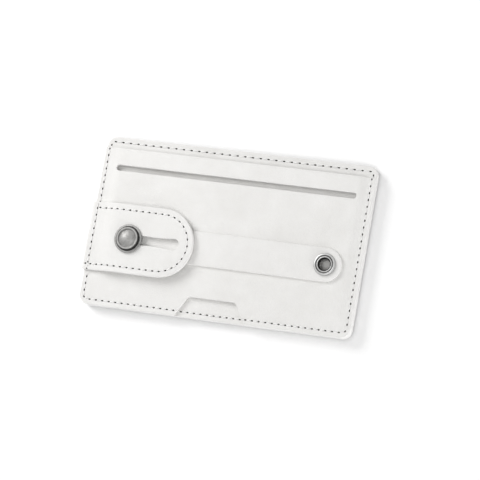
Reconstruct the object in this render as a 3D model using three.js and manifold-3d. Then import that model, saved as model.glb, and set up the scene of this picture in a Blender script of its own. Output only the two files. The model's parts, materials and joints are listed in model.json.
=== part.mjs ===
// Stick on card holder for the back of a phone: a flat sewn leather pocket with a long card slot,
// a thumb notch, and a finger strap that runs from a fixed eyelet to a stud sliding in a tab's slot.
// Millimetres. It lies on its stick on back: X along its width, Y up its height, Z out of its front.

import * as THREE from 'three';
import { mergeVertices } from 'three/addons/utils/BufferGeometryUtils.js';
import Module from 'manifold-3d';

// The bank card that the pocket is made for
const CARD_WIDTH = 85.6;
const CARD_THICKNESS = 0.76;

// The sewn pocket
const PLATE_WIDTH = 99;
const PLATE_HEIGHT = 59.8;
const PLATE_CORNER = 3.4;
const LINER_THICKNESS = 0.15;
const LINER_OVERHANG = 0.4;
const PAD_THICKNESS = 1;
const PAD_INSET = 4.5;
const PAD_CORNER = 2.5;
const BACK_THICKNESS = 1.2;
const INNER_THICKNESS = 1;
const FRONT_THICKNESS = 1.2;

// The front panel's mouth, card slot and thumb notch
const MOUTH_BELOW_TOP = 4.1;
const CARD_ROOM = 0.04;
const CARD_SLOT_SPARE = 2.4;
const CARD_SLOT_HEIGHT = 2;
const CARD_SLOT_BELOW_TOP = 11.05;
const CARD_SLOT_SHIFT = -0.1;
const NOTCH_CENTRE = -1.2;
const NOTCH_TOP_WIDTH = 17.2;
const NOTCH_BOTTOM_WIDTH = 26;
const NOTCH_HEIGHT = 7.15;
const NOTCH_CORNER = 1;

// Seams
const SEAM_INSET_SIDE = 1.4;
const SEAM_INSET_END = 1.8;
const SEAM_CORNER = 1.6;
const SIDE_STITCH = 2.4;
const TOP_STITCH = 2.86;
const THREAD_WIDTH = 0.5;
const THREAD_HEIGHT = 0.22;
const THREAD_NECK = 0.4;
const THREAD_CREST = 0.6;
const THREAD_GAP = 0.04;
const EDGE_GAP = 0.25;
const EDGE_CLIMB = 0.35;
const EDGE_LEAD = 0.15;

// How the front panel rises inside its seams to leave room for a card
const RISE_START = 0.4;
const RISE_LENGTH = 4.3;

// Tab, strap and the line on which both of their metal fastenings sit
const FASTENING_Y = -6;
const TAB_WIDTH = 24;
const TAB_LENGTH = 39.3;
const TAB_LAYER = 0.7;
const TAB_RETURN = 3;
const TAB_EDGE_ROUND = 1.1;
const TAB_SEAM_ROOM = 0.3;
const TAB_RAMP = 5.8;
const TAB_PANEL_GAP = 0.05;
const TAB_SEAM_INSET = 2;
const TAB_ROOM = 0.35;
const STRAP_WIDTH = 11.8;
const STRAP_THICKNESS = 1;

// Stud, its slot in the tab, and the eyelet
const STUD_FROM_EDGE = 15.6;
const STUD_TRAVEL = 16.6;
const POST_DIAMETER = 2.8;
const POST_CLEARANCE = 0.1;
const SEAT_CLEARANCE = 0.6;
const NECK_CLEARANCE = 0.2;
const FOOT_DIAMETER = 7;
const FOOT_THICKNESS = 0.4;
const FOOT_GAP = 0.05;
const COLLAR_DIAMETER = 10;
const COLLAR_THICKNESS = 0.35;
const COLLAR_LIFT = 0.3;
const CAP_DIAMETER = 8.2;
const CAP_HEIGHT = 1.3;
const CAP_RIM = 0.9;
const CAP_RIM_HEIGHT = 0.94;
const CAP_GROOVE_HEIGHT = 0.68;
const CAP_EDGE = 0.28;
const EYELET_FROM_EDGE = 12.2;
const EYELET_DIAMETER = 7.9;
const EYELET_MOUTH = 4.5;
const EYELET_BORE = 3.5;
const EYELET_WALL = 0.3;
const EYELET_HEIGHT = 0.75;
const EYELET_ROUND = 0.25;
const EYELET_THROAT = 0.5;
const EYELET_ROLL = 6.2;
const ROLL_THICKNESS = 0.3;
const WASHER_DIAMETER = 6.8;
const WASHER_THICKNESS = 0.25;
const EYELET_CLEARANCE = 0.1;

// Steps in a full turn, in a quarter turn, along the tab's ramp and up the cap's dome
const ROUND_STEPS = 32;
const CORNER_STEPS = 6;
const RAMP_STEPS = 12;
const DOME_STEPS = 6;

// Where a stitch has its sections, as shares of its length: thin at 0, full at the others
const NEEDLE_SECTIONS = [0, 0.25, 0.75];
const BOBBIN_SECTIONS = [0, 0.5];

// How far a punch or a strip runs past what it cuts or is cut by
const OVERRUN = 1;

// Heights of the layers, from the surface that the holder lies on
const BACK_UNDER = LINER_THICKNESS + PAD_THICKNESS;
const INNER_UNDER = BACK_UNDER + BACK_THICKNESS;
const FRONT_UNDER = INNER_UNDER + INNER_THICKNESS;
const MARGIN_TOP = FRONT_UNDER + FRONT_THICKNESS;
const POCKET_RISE = CARD_THICKNESS + CARD_ROOM;
const PANEL_TOP = MARGIN_TOP + POCKET_RISE;
const STRAP_TOP = PANEL_TOP + STRAP_THICKNESS;
const TAB_UNDER = STRAP_TOP + TAB_ROOM;
const TAB_TOP = TAB_UNDER + 2 * TAB_LAYER;
const COLLAR_UNDER = TAB_TOP + COLLAR_LIFT;
const CAP_UNDER = COLLAR_UNDER + COLLAR_THICKNESS;
const WASHER_UNDER = FRONT_UNDER + POCKET_RISE - WASHER_THICKNESS;

// Places in plan, from the middle of the sewn pocket
const LEFT = -PLATE_WIDTH / 2;
const RIGHT = PLATE_WIDTH / 2;
const BOTTOM = -PLATE_HEIGHT / 2;
const TOP = PLATE_HEIGHT / 2;
const MOUTH_Y = TOP - MOUTH_BELOW_TOP;
const SEAM_LEFT = LEFT + SEAM_INSET_SIDE;
const SEAM_RIGHT = RIGHT - SEAM_INSET_SIDE;
const SEAM_BOTTOM = BOTTOM + SEAM_INSET_END;
const SEAM_TOP = TOP - SEAM_INSET_END;
const STUD_X = LEFT + STUD_FROM_EDGE;
const EYELET_X = RIGHT - EYELET_FROM_EDGE;
const TAB_END_CENTRE = LEFT + TAB_LENGTH - TAB_WIDTH / 2;
const TAB_LOW_EDGE = FASTENING_Y - TAB_WIDTH / 2;
const TAB_HIGH_EDGE = FASTENING_Y + TAB_WIDTH / 2;
const SIDE_SEAM_TOP = MOUTH_Y - THREAD_WIDTH;

// Radii of the holes for the eyelet's barrel and for the stud's post
const BARREL_HOLE = EYELET_BORE / 2 + EYELET_WALL + EYELET_CLEARANCE;
const POST_HOLE = POST_DIAMETER / 2 + POST_CLEARANCE;

const wasm = await Module();
wasm.setup();

// A closed three.js geometry as a solid that can be joined and cut
function toSolid(geometry) {
  const bare = geometry.clone();
  bare.deleteAttribute('normal');
  bare.deleteAttribute('uv');
  const merged = mergeVertices(bare, 1e-5);
  const vertProperties = new Float32Array(merged.attributes.position.array);
  const triVerts = new Uint32Array(merged.index.array);
  return new wasm.Manifold(new wasm.Mesh({ numProp: 3, vertProperties, triVerts }));
}

function toGeometry(solid) {
  const mesh = solid.getMesh();
  const geometry = new THREE.BufferGeometry();
  geometry.setAttribute('position', new THREE.BufferAttribute(mesh.vertProperties, 3));
  geometry.setIndex(new THREE.BufferAttribute(mesh.triVerts, 1));
  geometry.computeVertexNormals();
  return geometry;
}

function cut(geometry, ...tools) {
  const cutOne = (solid, tool) => solid.subtract(toSolid(tool));
  return toGeometry(tools.reduce(cutOne, toSolid(geometry)));
}

function keepInside(geometry, limit) {
  return toGeometry(toSolid(geometry).intersect(toSolid(limit)));
}

// A flat sheet cut to a plan outline, from one height to another
function sheet(shape, from, to) {
  const options = { depth: to - from, bevelEnabled: false, curveSegments: CORNER_STEPS };
  return new THREE.ExtrudeGeometry(shape, options).translate(0, 0, from);
}

// A punch that cuts a plan outline through every layer
function punch(shape) {
  return sheet(shape, -OVERRUN, TAB_TOP + OVERRUN);
}

// A rectangle with its own radius at the bottom and at the top corners
function roundedRectangle(left, bottom, right, top, low, high = low) {
  const shape = new THREE.Shape();
  shape.moveTo(left + low, bottom);
  shape.lineTo(right - low, bottom);
  shape.absarc(right - low, bottom + low, low, -Math.PI / 2, 0);
  shape.lineTo(right, top - high);
  if (high > 0) shape.absarc(right - high, top - high, high, 0, Math.PI / 2);
  shape.lineTo(left + high, top);
  if (high > 0) shape.absarc(left + high, top - high, high, Math.PI / 2, Math.PI);
  shape.lineTo(left, bottom + low);
  shape.absarc(left + low, bottom + low, low, Math.PI, 1.5 * Math.PI);
  return shape;
}

// An arc as quarter turns or less, so that each quarter has the same number of steps
function arc(shape, x, y, radius, from, to) {
  const quarters = Math.max(1, Math.round(Math.abs(to - from) / (Math.PI / 2)));
  const turn = (to - from) / quarters;
  for (let i = 0; i < quarters; i++) {
    shape.absarc(x, y, radius, from + turn * i, from + turn * (i + 1), turn < 0);
  }
  return shape;
}

function disc(x, y, radius) {
  return arc(new THREE.Shape(), x, y, radius, 0, 2 * Math.PI);
}

// A band with round ends, from its left to its right end's centre
function bandShape(left, right, y, radius) {
  const shape = new THREE.Shape();
  arc(shape, right, y, radius, -Math.PI / 2, Math.PI / 2);
  return arc(shape, left, y, radius, Math.PI / 2, 1.5 * Math.PI);
}

// A turned piece from its half section: pairs of radius and height, round the Z axis
function turned(section) {
  const points = section.map(([radius, height]) => new THREE.Vector2(radius, height));
  const geometry = new THREE.LatheGeometry(points, ROUND_STEPS).rotateX(Math.PI / 2);
  return toGeometry(toSolid(geometry));
}

// Rounds the corner at b between a and c with a short arc of the given radius
function roundCorner(shape, a, b, c, radius) {
  const toA = a.clone().sub(b).normalize();
  const toC = c.clone().sub(b).normalize();
  const half = Math.acos(toA.dot(toC)) / 2;
  const reach = radius / Math.tan(half);
  const start = b.clone().addScaledVector(toA, reach);
  const end = b.clone().addScaledVector(toC, reach);
  shape.lineTo(start.x, start.y);
  shape.quadraticCurveTo(b.x, b.y, end.x, end.y);
}

// Half the width of the trapezoid thumb notch at a height above the bottom edge
function notchHalf(above) {
  const share = above / NOTCH_HEIGHT;
  return (NOTCH_BOTTOM_WIDTH * (1 - share) + NOTCH_TOP_WIDTH * share) / 2;
}

function notchShape() {
  const wide = notchHalf(-OVERRUN);
  const half = notchHalf(NOTCH_HEIGHT);
  const top = BOTTOM + NOTCH_HEIGHT;
  const corners = [
    new THREE.Vector2(NOTCH_CENTRE - wide, BOTTOM - OVERRUN),
    new THREE.Vector2(NOTCH_CENTRE - half, top),
    new THREE.Vector2(NOTCH_CENTRE + half, top),
    new THREE.Vector2(NOTCH_CENTRE + wide, BOTTOM - OVERRUN),
  ];
  const shape = new THREE.Shape().moveTo(corners[0].x, corners[0].y);
  roundCorner(shape, corners[0], corners[1], corners[2], NOTCH_CORNER);
  roundCorner(shape, corners[1], corners[2], corners[3], NOTCH_CORNER);
  shape.lineTo(corners[3].x, corners[3].y);
  return shape;
}

// The card slot: as wide as a card and some spare, with round ends
function cardSlotShape() {
  const half = (CARD_WIDTH + CARD_SLOT_SPARE) / 2;
  const radius = CARD_SLOT_HEIGHT / 2;
  const y = TOP - CARD_SLOT_BELOW_TOP;
  return bandShape(CARD_SLOT_SHIFT - half + radius, CARD_SLOT_SHIFT + half - radius, y, radius);
}

// Share of the full rise at a distance inside a seam, from 0 at the seam to 1
function riseShare(distance) {
  const t = THREE.MathUtils.clamp((distance - RISE_START) / RISE_LENGTH, 0, 1);
  return t * t * (3 - 2 * t);
}

// The front panel as a shallow dish that is open at its mouth: a grid of the same points on top
// and below, lifted inside the left, bottom and right seams
function dish() {
  const steps = [0, 0.1, 0.22, 0.4, 0.6, 0.8, 1].map((t) => RISE_START + t * RISE_LENGTH);
  const columns = [LEFT - OVERRUN, ...steps.map((d) => SEAM_LEFT + d)];
  columns.push(...steps.map((d) => SEAM_RIGHT - d).reverse(), RIGHT + OVERRUN);
  const rows = [BOTTOM - OVERRUN, ...steps.map((d) => SEAM_BOTTOM + d), TOP];
  const position = [];
  for (const under of [FRONT_UNDER, MARGIN_TOP]) {
    for (const y of rows) {
      for (const x of columns) {
        const side = riseShare(Math.min(x - SEAM_LEFT, SEAM_RIGHT - x));
        position.push(x, y, under + POCKET_RISE * side * riseShare(y - SEAM_BOTTOM));
      }
    }
  }
  const layer = rows.length * columns.length;
  const at = (row, column) => row * columns.length + column;
  const index = [];
  const quad = (a, b, c, d) => index.push(a, b, c, a, c, d);
  for (let r = 0; r + 1 < rows.length; r++) {
    for (let c = 0; c + 1 < columns.length; c++) {
      const corners = [at(r, c), at(r, c + 1), at(r + 1, c + 1), at(r + 1, c)];
      quad(...corners.map((corner) => corner + layer));
      quad(...corners.reverse());
    }
  }
  const edge = [];
  for (let c = 0; c + 1 < columns.length; c++) edge.push(at(0, c));
  for (let r = 0; r + 1 < rows.length; r++) edge.push(at(r, columns.length - 1));
  for (let c = columns.length - 1; c > 0; c--) edge.push(at(rows.length - 1, c));
  for (let r = rows.length - 1; r > 0; r--) edge.push(at(r, 0));
  edge.forEach((a, i) => {
    const b = edge[(i + 1) % edge.length];
    quad(a, b, b + layer, a + layer);
  });
  const geometry = new THREE.BufferGeometry();
  geometry.setAttribute('position', new THREE.Float32BufferAttribute(position, 3));
  return geometry.setIndex(index);
}

function frontPanel() {
  const outline = roundedRectangle(LEFT, BOTTOM, RIGHT, MOUTH_Y, PLATE_CORNER, 0);
  const holes = [notchShape(), cardSlotShape(), disc(EYELET_X, FASTENING_Y, BARREL_HOLE)];
  return cut(keepInside(dish(), punch(outline)), ...holes.map(punch));
}

function plateSheet(thickness) {
  return sheet(roundedRectangle(LEFT, BOTTOM, RIGHT, TOP, PLATE_CORNER), 0, thickness);
}

function insetSheet(inset, corner, thickness) {
  const outline = [LEFT + inset, BOTTOM + inset, RIGHT - inset, TOP - inset];
  return sheet(roundedRectangle(...outline, corner), 0, thickness);
}

// Height of the tab's underside: on the margin at its left end, then up over panel and strap
function tabUnder(x) {
  const t = THREE.MathUtils.clamp((x - SEAM_LEFT - TAB_SEAM_ROOM) / TAB_RAMP, 0, 1);
  const ramp = (TAB_UNDER - MARGIN_TOP) * 0.5 * (1 - Math.cos(Math.PI * t));
  const panel = POCKET_RISE * riseShare(x - SEAM_LEFT);
  return MARGIN_TOP + Math.max(ramp, panel > 0 ? panel + TAB_PANEL_GAP : 0);
}

// Where the tab has risen far enough above the front panel to leave room for a thread under it
function tabClearOfPanel() {
  const room = THREAD_HEIGHT + 3 * THREAD_GAP;
  const panelTop = (x) => MARGIN_TOP + POCKET_RISE * riseShare(x - SEAM_LEFT);
  let x = SEAM_LEFT + SIDE_STITCH / 2;
  while (x < STUD_X && tabUnder(x) - panelTop(x) < room) x += THREAD_WIDTH / 2;
  return x;
}

// Places along the tab where its height is worked out, past its round end
function tabStations() {
  const start = SEAM_LEFT + TAB_SEAM_ROOM;
  const ramp = Array.from({ length: RAMP_STEPS + 1 }, (_, i) => start + (TAB_RAMP * i) / RAMP_STEPS);
  return [...ramp, LEFT + TAB_LENGTH + OVERRUN];
}

// The tab seen from above: square at the edge of the pocket, round at its free end
function tabOutline() {
  const outside = LEFT - TAB_LAYER - OVERRUN;
  const shape = new THREE.Shape();
  shape.moveTo(outside, TAB_LOW_EDGE);
  shape.lineTo(TAB_END_CENTRE, TAB_LOW_EDGE);
  const eighths = [-Math.PI / 2, -Math.PI / 4, 0, Math.PI / 4];
  for (const from of eighths) {
    shape.absarc(TAB_END_CENTRE, FASTENING_Y, TAB_WIDTH / 2, from, from + Math.PI / 4);
  }
  shape.lineTo(outside, TAB_HIGH_EDGE);
  return shape;
}

// The slot that the stud slides in: a round seat at each end and a narrower neck between them
function tabSlotShape() {
  const seat = POST_DIAMETER / 2 + SEAT_CLEARANCE;
  const pinch = 2 * (SEAT_CLEARANCE - NECK_CLEARANCE);
  const far = STUD_X + STUD_TRAVEL;
  const middle = (STUD_X + far) / 2;
  const shape = new THREE.Shape();
  arc(shape, far, FASTENING_Y, seat, -Math.PI / 2, Math.PI / 2);
  shape.quadraticCurveTo(middle, FASTENING_Y + seat - pinch, STUD_X, FASTENING_Y + seat);
  arc(shape, STUD_X, FASTENING_Y, seat, Math.PI / 2, 1.5 * Math.PI);
  shape.quadraticCurveTo(middle, FASTENING_Y - seat + pinch, far, FASTENING_Y - seat);
  return shape;
}

// A leather layer of the tab from its side section, cut to the tab's outline and slot
function tabLayer(section) {
  const depth = TAB_WIDTH + 2 * OVERRUN;
  const options = { depth, bevelEnabled: false, curveSegments: CORNER_STEPS };
  const strip = new THREE.ExtrudeGeometry(section, options);
  strip.rotateX(Math.PI / 2).translate(0, TAB_HIGH_EDGE + OVERRUN, 0);
  return cut(keepInside(strip, punch(tabOutline())), punch(tabSlotShape()));
}

function tabLining() {
  const section = new THREE.Shape().moveTo(LEFT, MARGIN_TOP);
  for (const x of tabStations()) section.lineTo(x, tabUnder(x));
  for (const x of tabStations().reverse()) section.lineTo(x, tabUnder(x) + TAB_LAYER);
  section.lineTo(LEFT, MARGIN_TOP + TAB_LAYER);
  return tabLayer(section);
}

// The tab's face goes on round the left edge of the pocket and ends in a return on its back
function tabFace() {
  const outside = LEFT - TAB_LAYER;
  const round = TAB_EDGE_ROUND;
  const faceTop = MARGIN_TOP + 2 * TAB_LAYER;
  const returnUnder = BACK_UNDER - TAB_LAYER;
  const section = new THREE.Shape().moveTo(LEFT + TAB_RETURN, BACK_UNDER);
  section.lineTo(LEFT, BACK_UNDER);
  section.lineTo(LEFT, MARGIN_TOP + TAB_LAYER);
  for (const x of tabStations()) section.lineTo(x, tabUnder(x) + TAB_LAYER);
  for (const x of tabStations().reverse()) section.lineTo(x, tabUnder(x) + 2 * TAB_LAYER);
  section.lineTo(outside + round, faceTop);
  section.absarc(outside + round, faceTop - round, round, Math.PI / 2, Math.PI);
  section.absarc(outside + round, returnUnder + round, round, Math.PI, 1.5 * Math.PI);
  section.lineTo(LEFT + TAB_RETURN, returnUnder);
  return tabLayer(section);
}

// The strap: a band with round ends, holes for its two fastenings and a hollow for the stud's foot
function strapBand() {
  const outline = bandShape(STUD_X, EYELET_X, FASTENING_Y, STRAP_WIDTH / 2);
  const foot = disc(STUD_X, FASTENING_Y, FOOT_DIAMETER / 2 + POST_CLEARANCE);
  return cut(
    sheet(outline, PANEL_TOP, STRAP_TOP),
    punch(disc(EYELET_X, FASTENING_Y, BARREL_HOLE)),
    punch(disc(STUD_X, FASTENING_Y, POST_HOLE)),
    sheet(foot, PANEL_TOP - OVERRUN, PANEL_TOP + FOOT_GAP + FOOT_THICKNESS),
  );
}

// Foot and post of the stud, from just above the front panel up to the cap
function studBase() {
  const foot = FOOT_DIAMETER / 2;
  const post = POST_DIAMETER / 2;
  const footTop = FOOT_GAP + FOOT_THICKNESS;
  const postTop = CAP_UNDER - PANEL_TOP;
  const section = [
    [0, FOOT_GAP],
    [foot, FOOT_GAP],
    [foot, footTop],
    [post, footTop],
    [post, postTop],
    [0, postTop],
  ];
  return turned(section);
}

function studCollar() {
  const rim = COLLAR_DIAMETER / 2;
  const soft = COLLAR_THICKNESS / 3;
  const section = [
    [POST_HOLE, 0],
    [rim - soft, 0],
    [rim, soft],
    [rim, COLLAR_THICKNESS - soft],
    [rim - soft, COLLAR_THICKNESS],
    [POST_HOLE, COLLAR_THICKNESS],
    [POST_HOLE, 0],
  ];
  return turned(section);
}

// The cap: a raised turned rim round a groove, and a low dome inside it
function studCap() {
  const rim = CAP_DIAMETER / 2;
  const inside = rim - CAP_RIM;
  const domeHeight = CAP_HEIGHT - CAP_GROOVE_HEIGHT;
  const section = [
    [0, 0],
    [rim - CAP_EDGE, 0],
    [rim, CAP_EDGE],
    [rim, CAP_RIM_HEIGHT - CAP_EDGE],
    [rim - CAP_EDGE, CAP_RIM_HEIGHT],
    [inside + CAP_EDGE, CAP_RIM_HEIGHT],
    [inside, CAP_GROOVE_HEIGHT],
  ];
  for (let i = 1; i < DOME_STEPS; i++) {
    const angle = ((Math.PI / 2) * i) / DOME_STEPS;
    section.push([inside * Math.cos(angle), CAP_GROOVE_HEIGHT + domeHeight * Math.sin(angle)]);
  }
  section.push([0, CAP_HEIGHT]);
  return turned(section);
}

// The eyelet: a rolled ring on the strap, a barrel through strap and panel, and a rolled foot
function eyeletRing() {
  const bore = EYELET_BORE / 2;
  const barrel = bore + EYELET_WALL;
  const mouth = EYELET_MOUTH / 2;
  const rim = EYELET_DIAMETER / 2;
  const rollTop = WASHER_UNDER - STRAP_TOP;
  const rollUnder = rollTop - ROLL_THICKNESS;
  const section = [
    [bore, rollUnder],
    [EYELET_ROLL / 2, rollUnder],
    [EYELET_ROLL / 2, rollTop],
    [barrel, rollTop],
    [barrel, 0],
    [rim, 0],
    [rim, EYELET_ROUND],
    [rim - EYELET_ROUND, EYELET_HEIGHT - EYELET_ROUND],
    [rim - 2 * EYELET_ROUND, EYELET_HEIGHT],
    [mouth + 2 * EYELET_ROUND, EYELET_HEIGHT],
    [mouth, EYELET_HEIGHT - EYELET_ROUND],
    [bore, -EYELET_THROAT],
    [bore, rollUnder],
  ];
  return turned(section);
}

function eyeletWasher() {
  const rim = WASHER_DIAMETER / 2;
  const section = [
    [BARREL_HOLE, 0],
    [rim, 0],
    [rim, WASHER_THICKNESS],
    [BARREL_HOLE, WASHER_THICKNESS],
    [BARREL_HOLE, 0],
  ];
  return turned(section);
}

// A seam's thread on one side of the leather: full between two needle holes and thin at each one.
// route gives the plan points of the seam, height the surface at a plan point, steps the places
// along the route where that surface jumps, and side is 1 on top and -1 below.
function seamThread({ route, stitch, height, steps = [], side = 1 }) {
  const length = route.getLength();
  const count = Math.round(length / stitch);
  const sections = [{ along: length, size: THREAD_NECK }];
  for (let i = 0; i < count; i++) {
    for (const share of side > 0 ? NEEDLE_SECTIONS : BOBBIN_SECTIONS) {
      sections.push({ along: ((i + share) * length) / count, size: share > 0 ? 1 : THREAD_NECK });
    }
  }
  const window = EDGE_GAP + EDGE_CLIMB + 2 * EDGE_LEAD;
  const clear = (item) => steps.every((step) => Math.abs(item.along - step.at) > window);
  const kept = [...sections.filter(clear), ...steps.flatMap(stepSections)];
  kept.sort((a, b) => a.along - b.along);
  const position = [];
  for (const { along, size, low, high } of kept) {
    const point = route.getPointAt(along / length);
    const tangent = route.getTangentAt(along / length);
    const surface = low ?? height(point.x, point.y);
    const foot = surface + side * THREAD_GAP;
    const crest = (high ?? surface) + side * (THREAD_GAP + THREAD_HEIGHT * size);
    const half = (THREAD_WIDTH * size) / 2;
    const top = half * THREAD_CREST;
    const corners = [[-half, foot], [half, foot], [top, crest], [-top, crest]];
    for (const [reach, z] of corners) {
      position.push(point.x - tangent.y * reach, point.y + tangent.x * reach, z);
    }
  }
  return toGeometry(toSolid(chain(position, side)));
}

// Three sections that take a thread up or down the cut edge of a layer without touching it.
// from and to are the surface before and after the edge, and out is the one that stands out
function stepSections({ at, from, to, out }) {
  const rising = to === out;
  const low = rising ? from : to;
  const away = rising ? -1 : 1;
  return [
    { along: at + away * EDGE_GAP, size: 1, low: out, high: out },
    { along: at + away * (EDGE_GAP + EDGE_CLIMB), size: 1, low, high: out },
    { along: at + away * (EDGE_GAP + EDGE_CLIMB + EDGE_LEAD), size: 1, low, high: low },
  ];
}

// Skins a row of four-cornered sections and closes both ends
function chain(position, side) {
  const sections = position.length / 12;
  const index = [];
  const face = (a, b, c) => (side > 0 ? index.push(a, b, c) : index.push(a, c, b));
  for (let s = 0; s + 1 < sections; s++) {
    for (let k = 0; k < 4; k++) {
      const a = s * 4 + k;
      const b = s * 4 + ((k + 1) % 4);
      face(a, b, b + 4);
      face(a, b + 4, a + 4);
    }
  }
  const last = (sections - 1) * 4;
  face(0, 2, 1);
  face(0, 3, 2);
  face(last, last + 1, last + 2);
  face(last, last + 2, last + 3);
  const geometry = new THREE.BufferGeometry();
  geometry.setAttribute('position', new THREE.Float32BufferAttribute(position, 3));
  return geometry.setIndex(index);
}

// Down the left side, along the bottom and up the right side
function sideSeamRoute() {
  const corner = SEAM_CORNER;
  const route = new THREE.Path().moveTo(SEAM_LEFT, SIDE_SEAM_TOP);
  route.lineTo(SEAM_LEFT, SEAM_BOTTOM + corner);
  route.absarc(SEAM_LEFT + corner, SEAM_BOTTOM + corner, corner, Math.PI, 1.5 * Math.PI);
  route.lineTo(SEAM_RIGHT - corner, SEAM_BOTTOM);
  route.absarc(SEAM_RIGHT - corner, SEAM_BOTTOM + corner, corner, -Math.PI / 2, 0);
  route.lineTo(SEAM_RIGHT, SIDE_SEAM_TOP);
  return route;
}

// Where the side seam meets the tab's two edges and the notch's two edges, along its route
function sideSeamPlaces() {
  const quarter = (Math.PI / 2) * SEAM_CORNER;
  const bottomStart = SIDE_SEAM_TOP - SEAM_BOTTOM - SEAM_CORNER + quarter;
  const alongBottom = (x) => bottomStart + x - SEAM_LEFT - SEAM_CORNER;
  return {
    tabHigh: SIDE_SEAM_TOP - TAB_HIGH_EDGE,
    tabLow: SIDE_SEAM_TOP - TAB_LOW_EDGE,
    notchLeft: alongBottom(NOTCH_CENTRE - notchHalf(SEAM_INSET_END)),
    notchRight: alongBottom(NOTCH_CENTRE + notchHalf(SEAM_INSET_END)),
  };
}

function onTab(x, y) {
  return x < TAB_END_CENTRE && y < TAB_HIGH_EDGE && y > TAB_LOW_EDGE;
}

function inNotch(x, y) {
  return y < BOTTOM + NOTCH_HEIGHT && Math.abs(x - NOTCH_CENTRE) < notchHalf(SEAM_INSET_END);
}

function sideSeamThread() {
  const place = sideSeamPlaces();
  const onTabTop = MARGIN_TOP + 2 * TAB_LAYER;
  const steps = [
    { at: place.tabHigh, from: MARGIN_TOP, to: onTabTop, out: onTabTop },
    { at: place.tabLow, from: onTabTop, to: MARGIN_TOP, out: onTabTop },
    { at: place.notchLeft, from: MARGIN_TOP, to: FRONT_UNDER, out: MARGIN_TOP },
    { at: place.notchRight, from: FRONT_UNDER, to: MARGIN_TOP, out: MARGIN_TOP },
  ];
  const height = (x, y) => {
    if (onTab(x, y)) return onTabTop;
    return inNotch(x, y) ? FRONT_UNDER : MARGIN_TOP;
  };
  return seamThread({ route: sideSeamRoute(), stitch: SIDE_STITCH, height, steps });
}

function sideSeamBobbin() {
  const place = sideSeamPlaces();
  const underReturn = BACK_UNDER - TAB_LAYER;
  const steps = [
    { at: place.tabHigh, from: BACK_UNDER, to: underReturn, out: underReturn },
    { at: place.tabLow, from: underReturn, to: BACK_UNDER, out: underReturn },
  ];
  const height = (x, y) => (onTab(x, y) ? underReturn : BACK_UNDER);
  return seamThread({ route: sideSeamRoute(), stitch: SIDE_STITCH, height, steps, side: -1 });
}

// Along the top edge, on the inner panel and on the back panel
function topSeam(surface, side) {
  const reach = THREAD_WIDTH + SEAM_CORNER / 2;
  const route = new THREE.Path().moveTo(SEAM_LEFT + reach, SEAM_TOP);
  route.lineTo(SEAM_RIGHT - reach, SEAM_TOP);
  return seamThread({ route, stitch: TOP_STITCH, height: () => surface, side });
}

// Round the tab, from a place near its left end and back to it
function tabSeamRoute(start) {
  const radius = TAB_WIDTH / 2 - TAB_SEAM_INSET;
  const route = new THREE.Path().moveTo(start, FASTENING_Y + radius);
  route.lineTo(TAB_END_CENTRE, FASTENING_Y + radius);
  route.absarc(TAB_END_CENTRE, FASTENING_Y, radius, Math.PI / 2, -Math.PI / 2, true);
  route.lineTo(start, FASTENING_Y - radius);
  return route;
}

function tabSeamThread() {
  const route = tabSeamRoute(SEAM_LEFT + 2 * THREAD_WIDTH);
  return seamThread({ route, stitch: SIDE_STITCH, height: (x) => tabUnder(x) + 2 * TAB_LAYER });
}

function tabSeamBobbin() {
  const route = tabSeamRoute(tabClearOfPanel());
  return seamThread({ route, stitch: SIDE_STITCH, height: tabUnder, side: -1 });
}

function finish(color, roughness, metalness = 0) {
  return new THREE.MeshStandardMaterial({ color, roughness, metalness });
}

const leather = (color) => finish(color, 0.55);
const thread = () => finish(0xdedcd9, 0.7);
const metal = (color, roughness) => finish(color, roughness, 1);

function piece(name, material, geometry, [x, y, z] = [0, 0, 0]) {
  const mesh = new THREE.Mesh(geometry, material);
  mesh.name = name;
  mesh.position.set(x, y, z);
  return mesh;
}

// What sticks the holder to the phone
const liner = insetSheet(PAD_INSET - LINER_OVERHANG, PAD_CORNER, LINER_THICKNESS);
const pad = insetSheet(PAD_INSET, PAD_CORNER, PAD_THICKNESS);
const stickOn = new THREE.Group();
stickOn.add(
  piece('release_liner', finish(0xe9e4d4, 0.6), liner),
  piece('adhesive_pad', finish(0xcfcfca, 0.9), pad, [0, 0, LINER_THICKNESS]),
);

// The three leathers of the pocket and the threads of its two seams
const pocket = new THREE.Group();
pocket.add(
  piece('back_panel', leather(0xe6e4e1), plateSheet(BACK_THICKNESS), [0, 0, BACK_UNDER]),
  piece('inner_panel', leather(0xe8e6e3), plateSheet(INNER_THICKNESS), [0, 0, INNER_UNDER]),
  piece('front_panel', leather(0xebe9e6), frontPanel()),
  piece('top_seam_thread', thread(), topSeam(FRONT_UNDER, 1)),
  piece('top_seam_bobbin', thread(), topSeam(BACK_UNDER, -1)),
  piece('side_seam_thread', thread(), sideSeamThread()),
  piece('side_seam_bobbin', thread(), sideSeamBobbin()),
);

// The tab with its seam
const tab = new THREE.Group();
tab.add(
  piece('tab_lining', leather(0xe6e4e1), tabLining()),
  piece('tab_face', leather(0xedebe8), tabFace()),
  piece('tab_seam_thread', thread(), tabSeamThread()),
  piece('tab_seam_bobbin', thread(), tabSeamBobbin()),
);

// The strap and the eyelet that holds its right end
const fastenedStrap = new THREE.Group();
fastenedStrap.add(
  piece('strap', leather(0xedebe8), strapBand()),
  piece('eyelet', metal(0xc9c9c7, 0.3), eyeletRing(), [EYELET_X, FASTENING_Y, STRAP_TOP]),
  piece('eyelet_washer', metal(0xb9b9b7, 0.4), eyeletWasher(), [EYELET_X, FASTENING_Y, WASHER_UNDER]),
);

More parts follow.
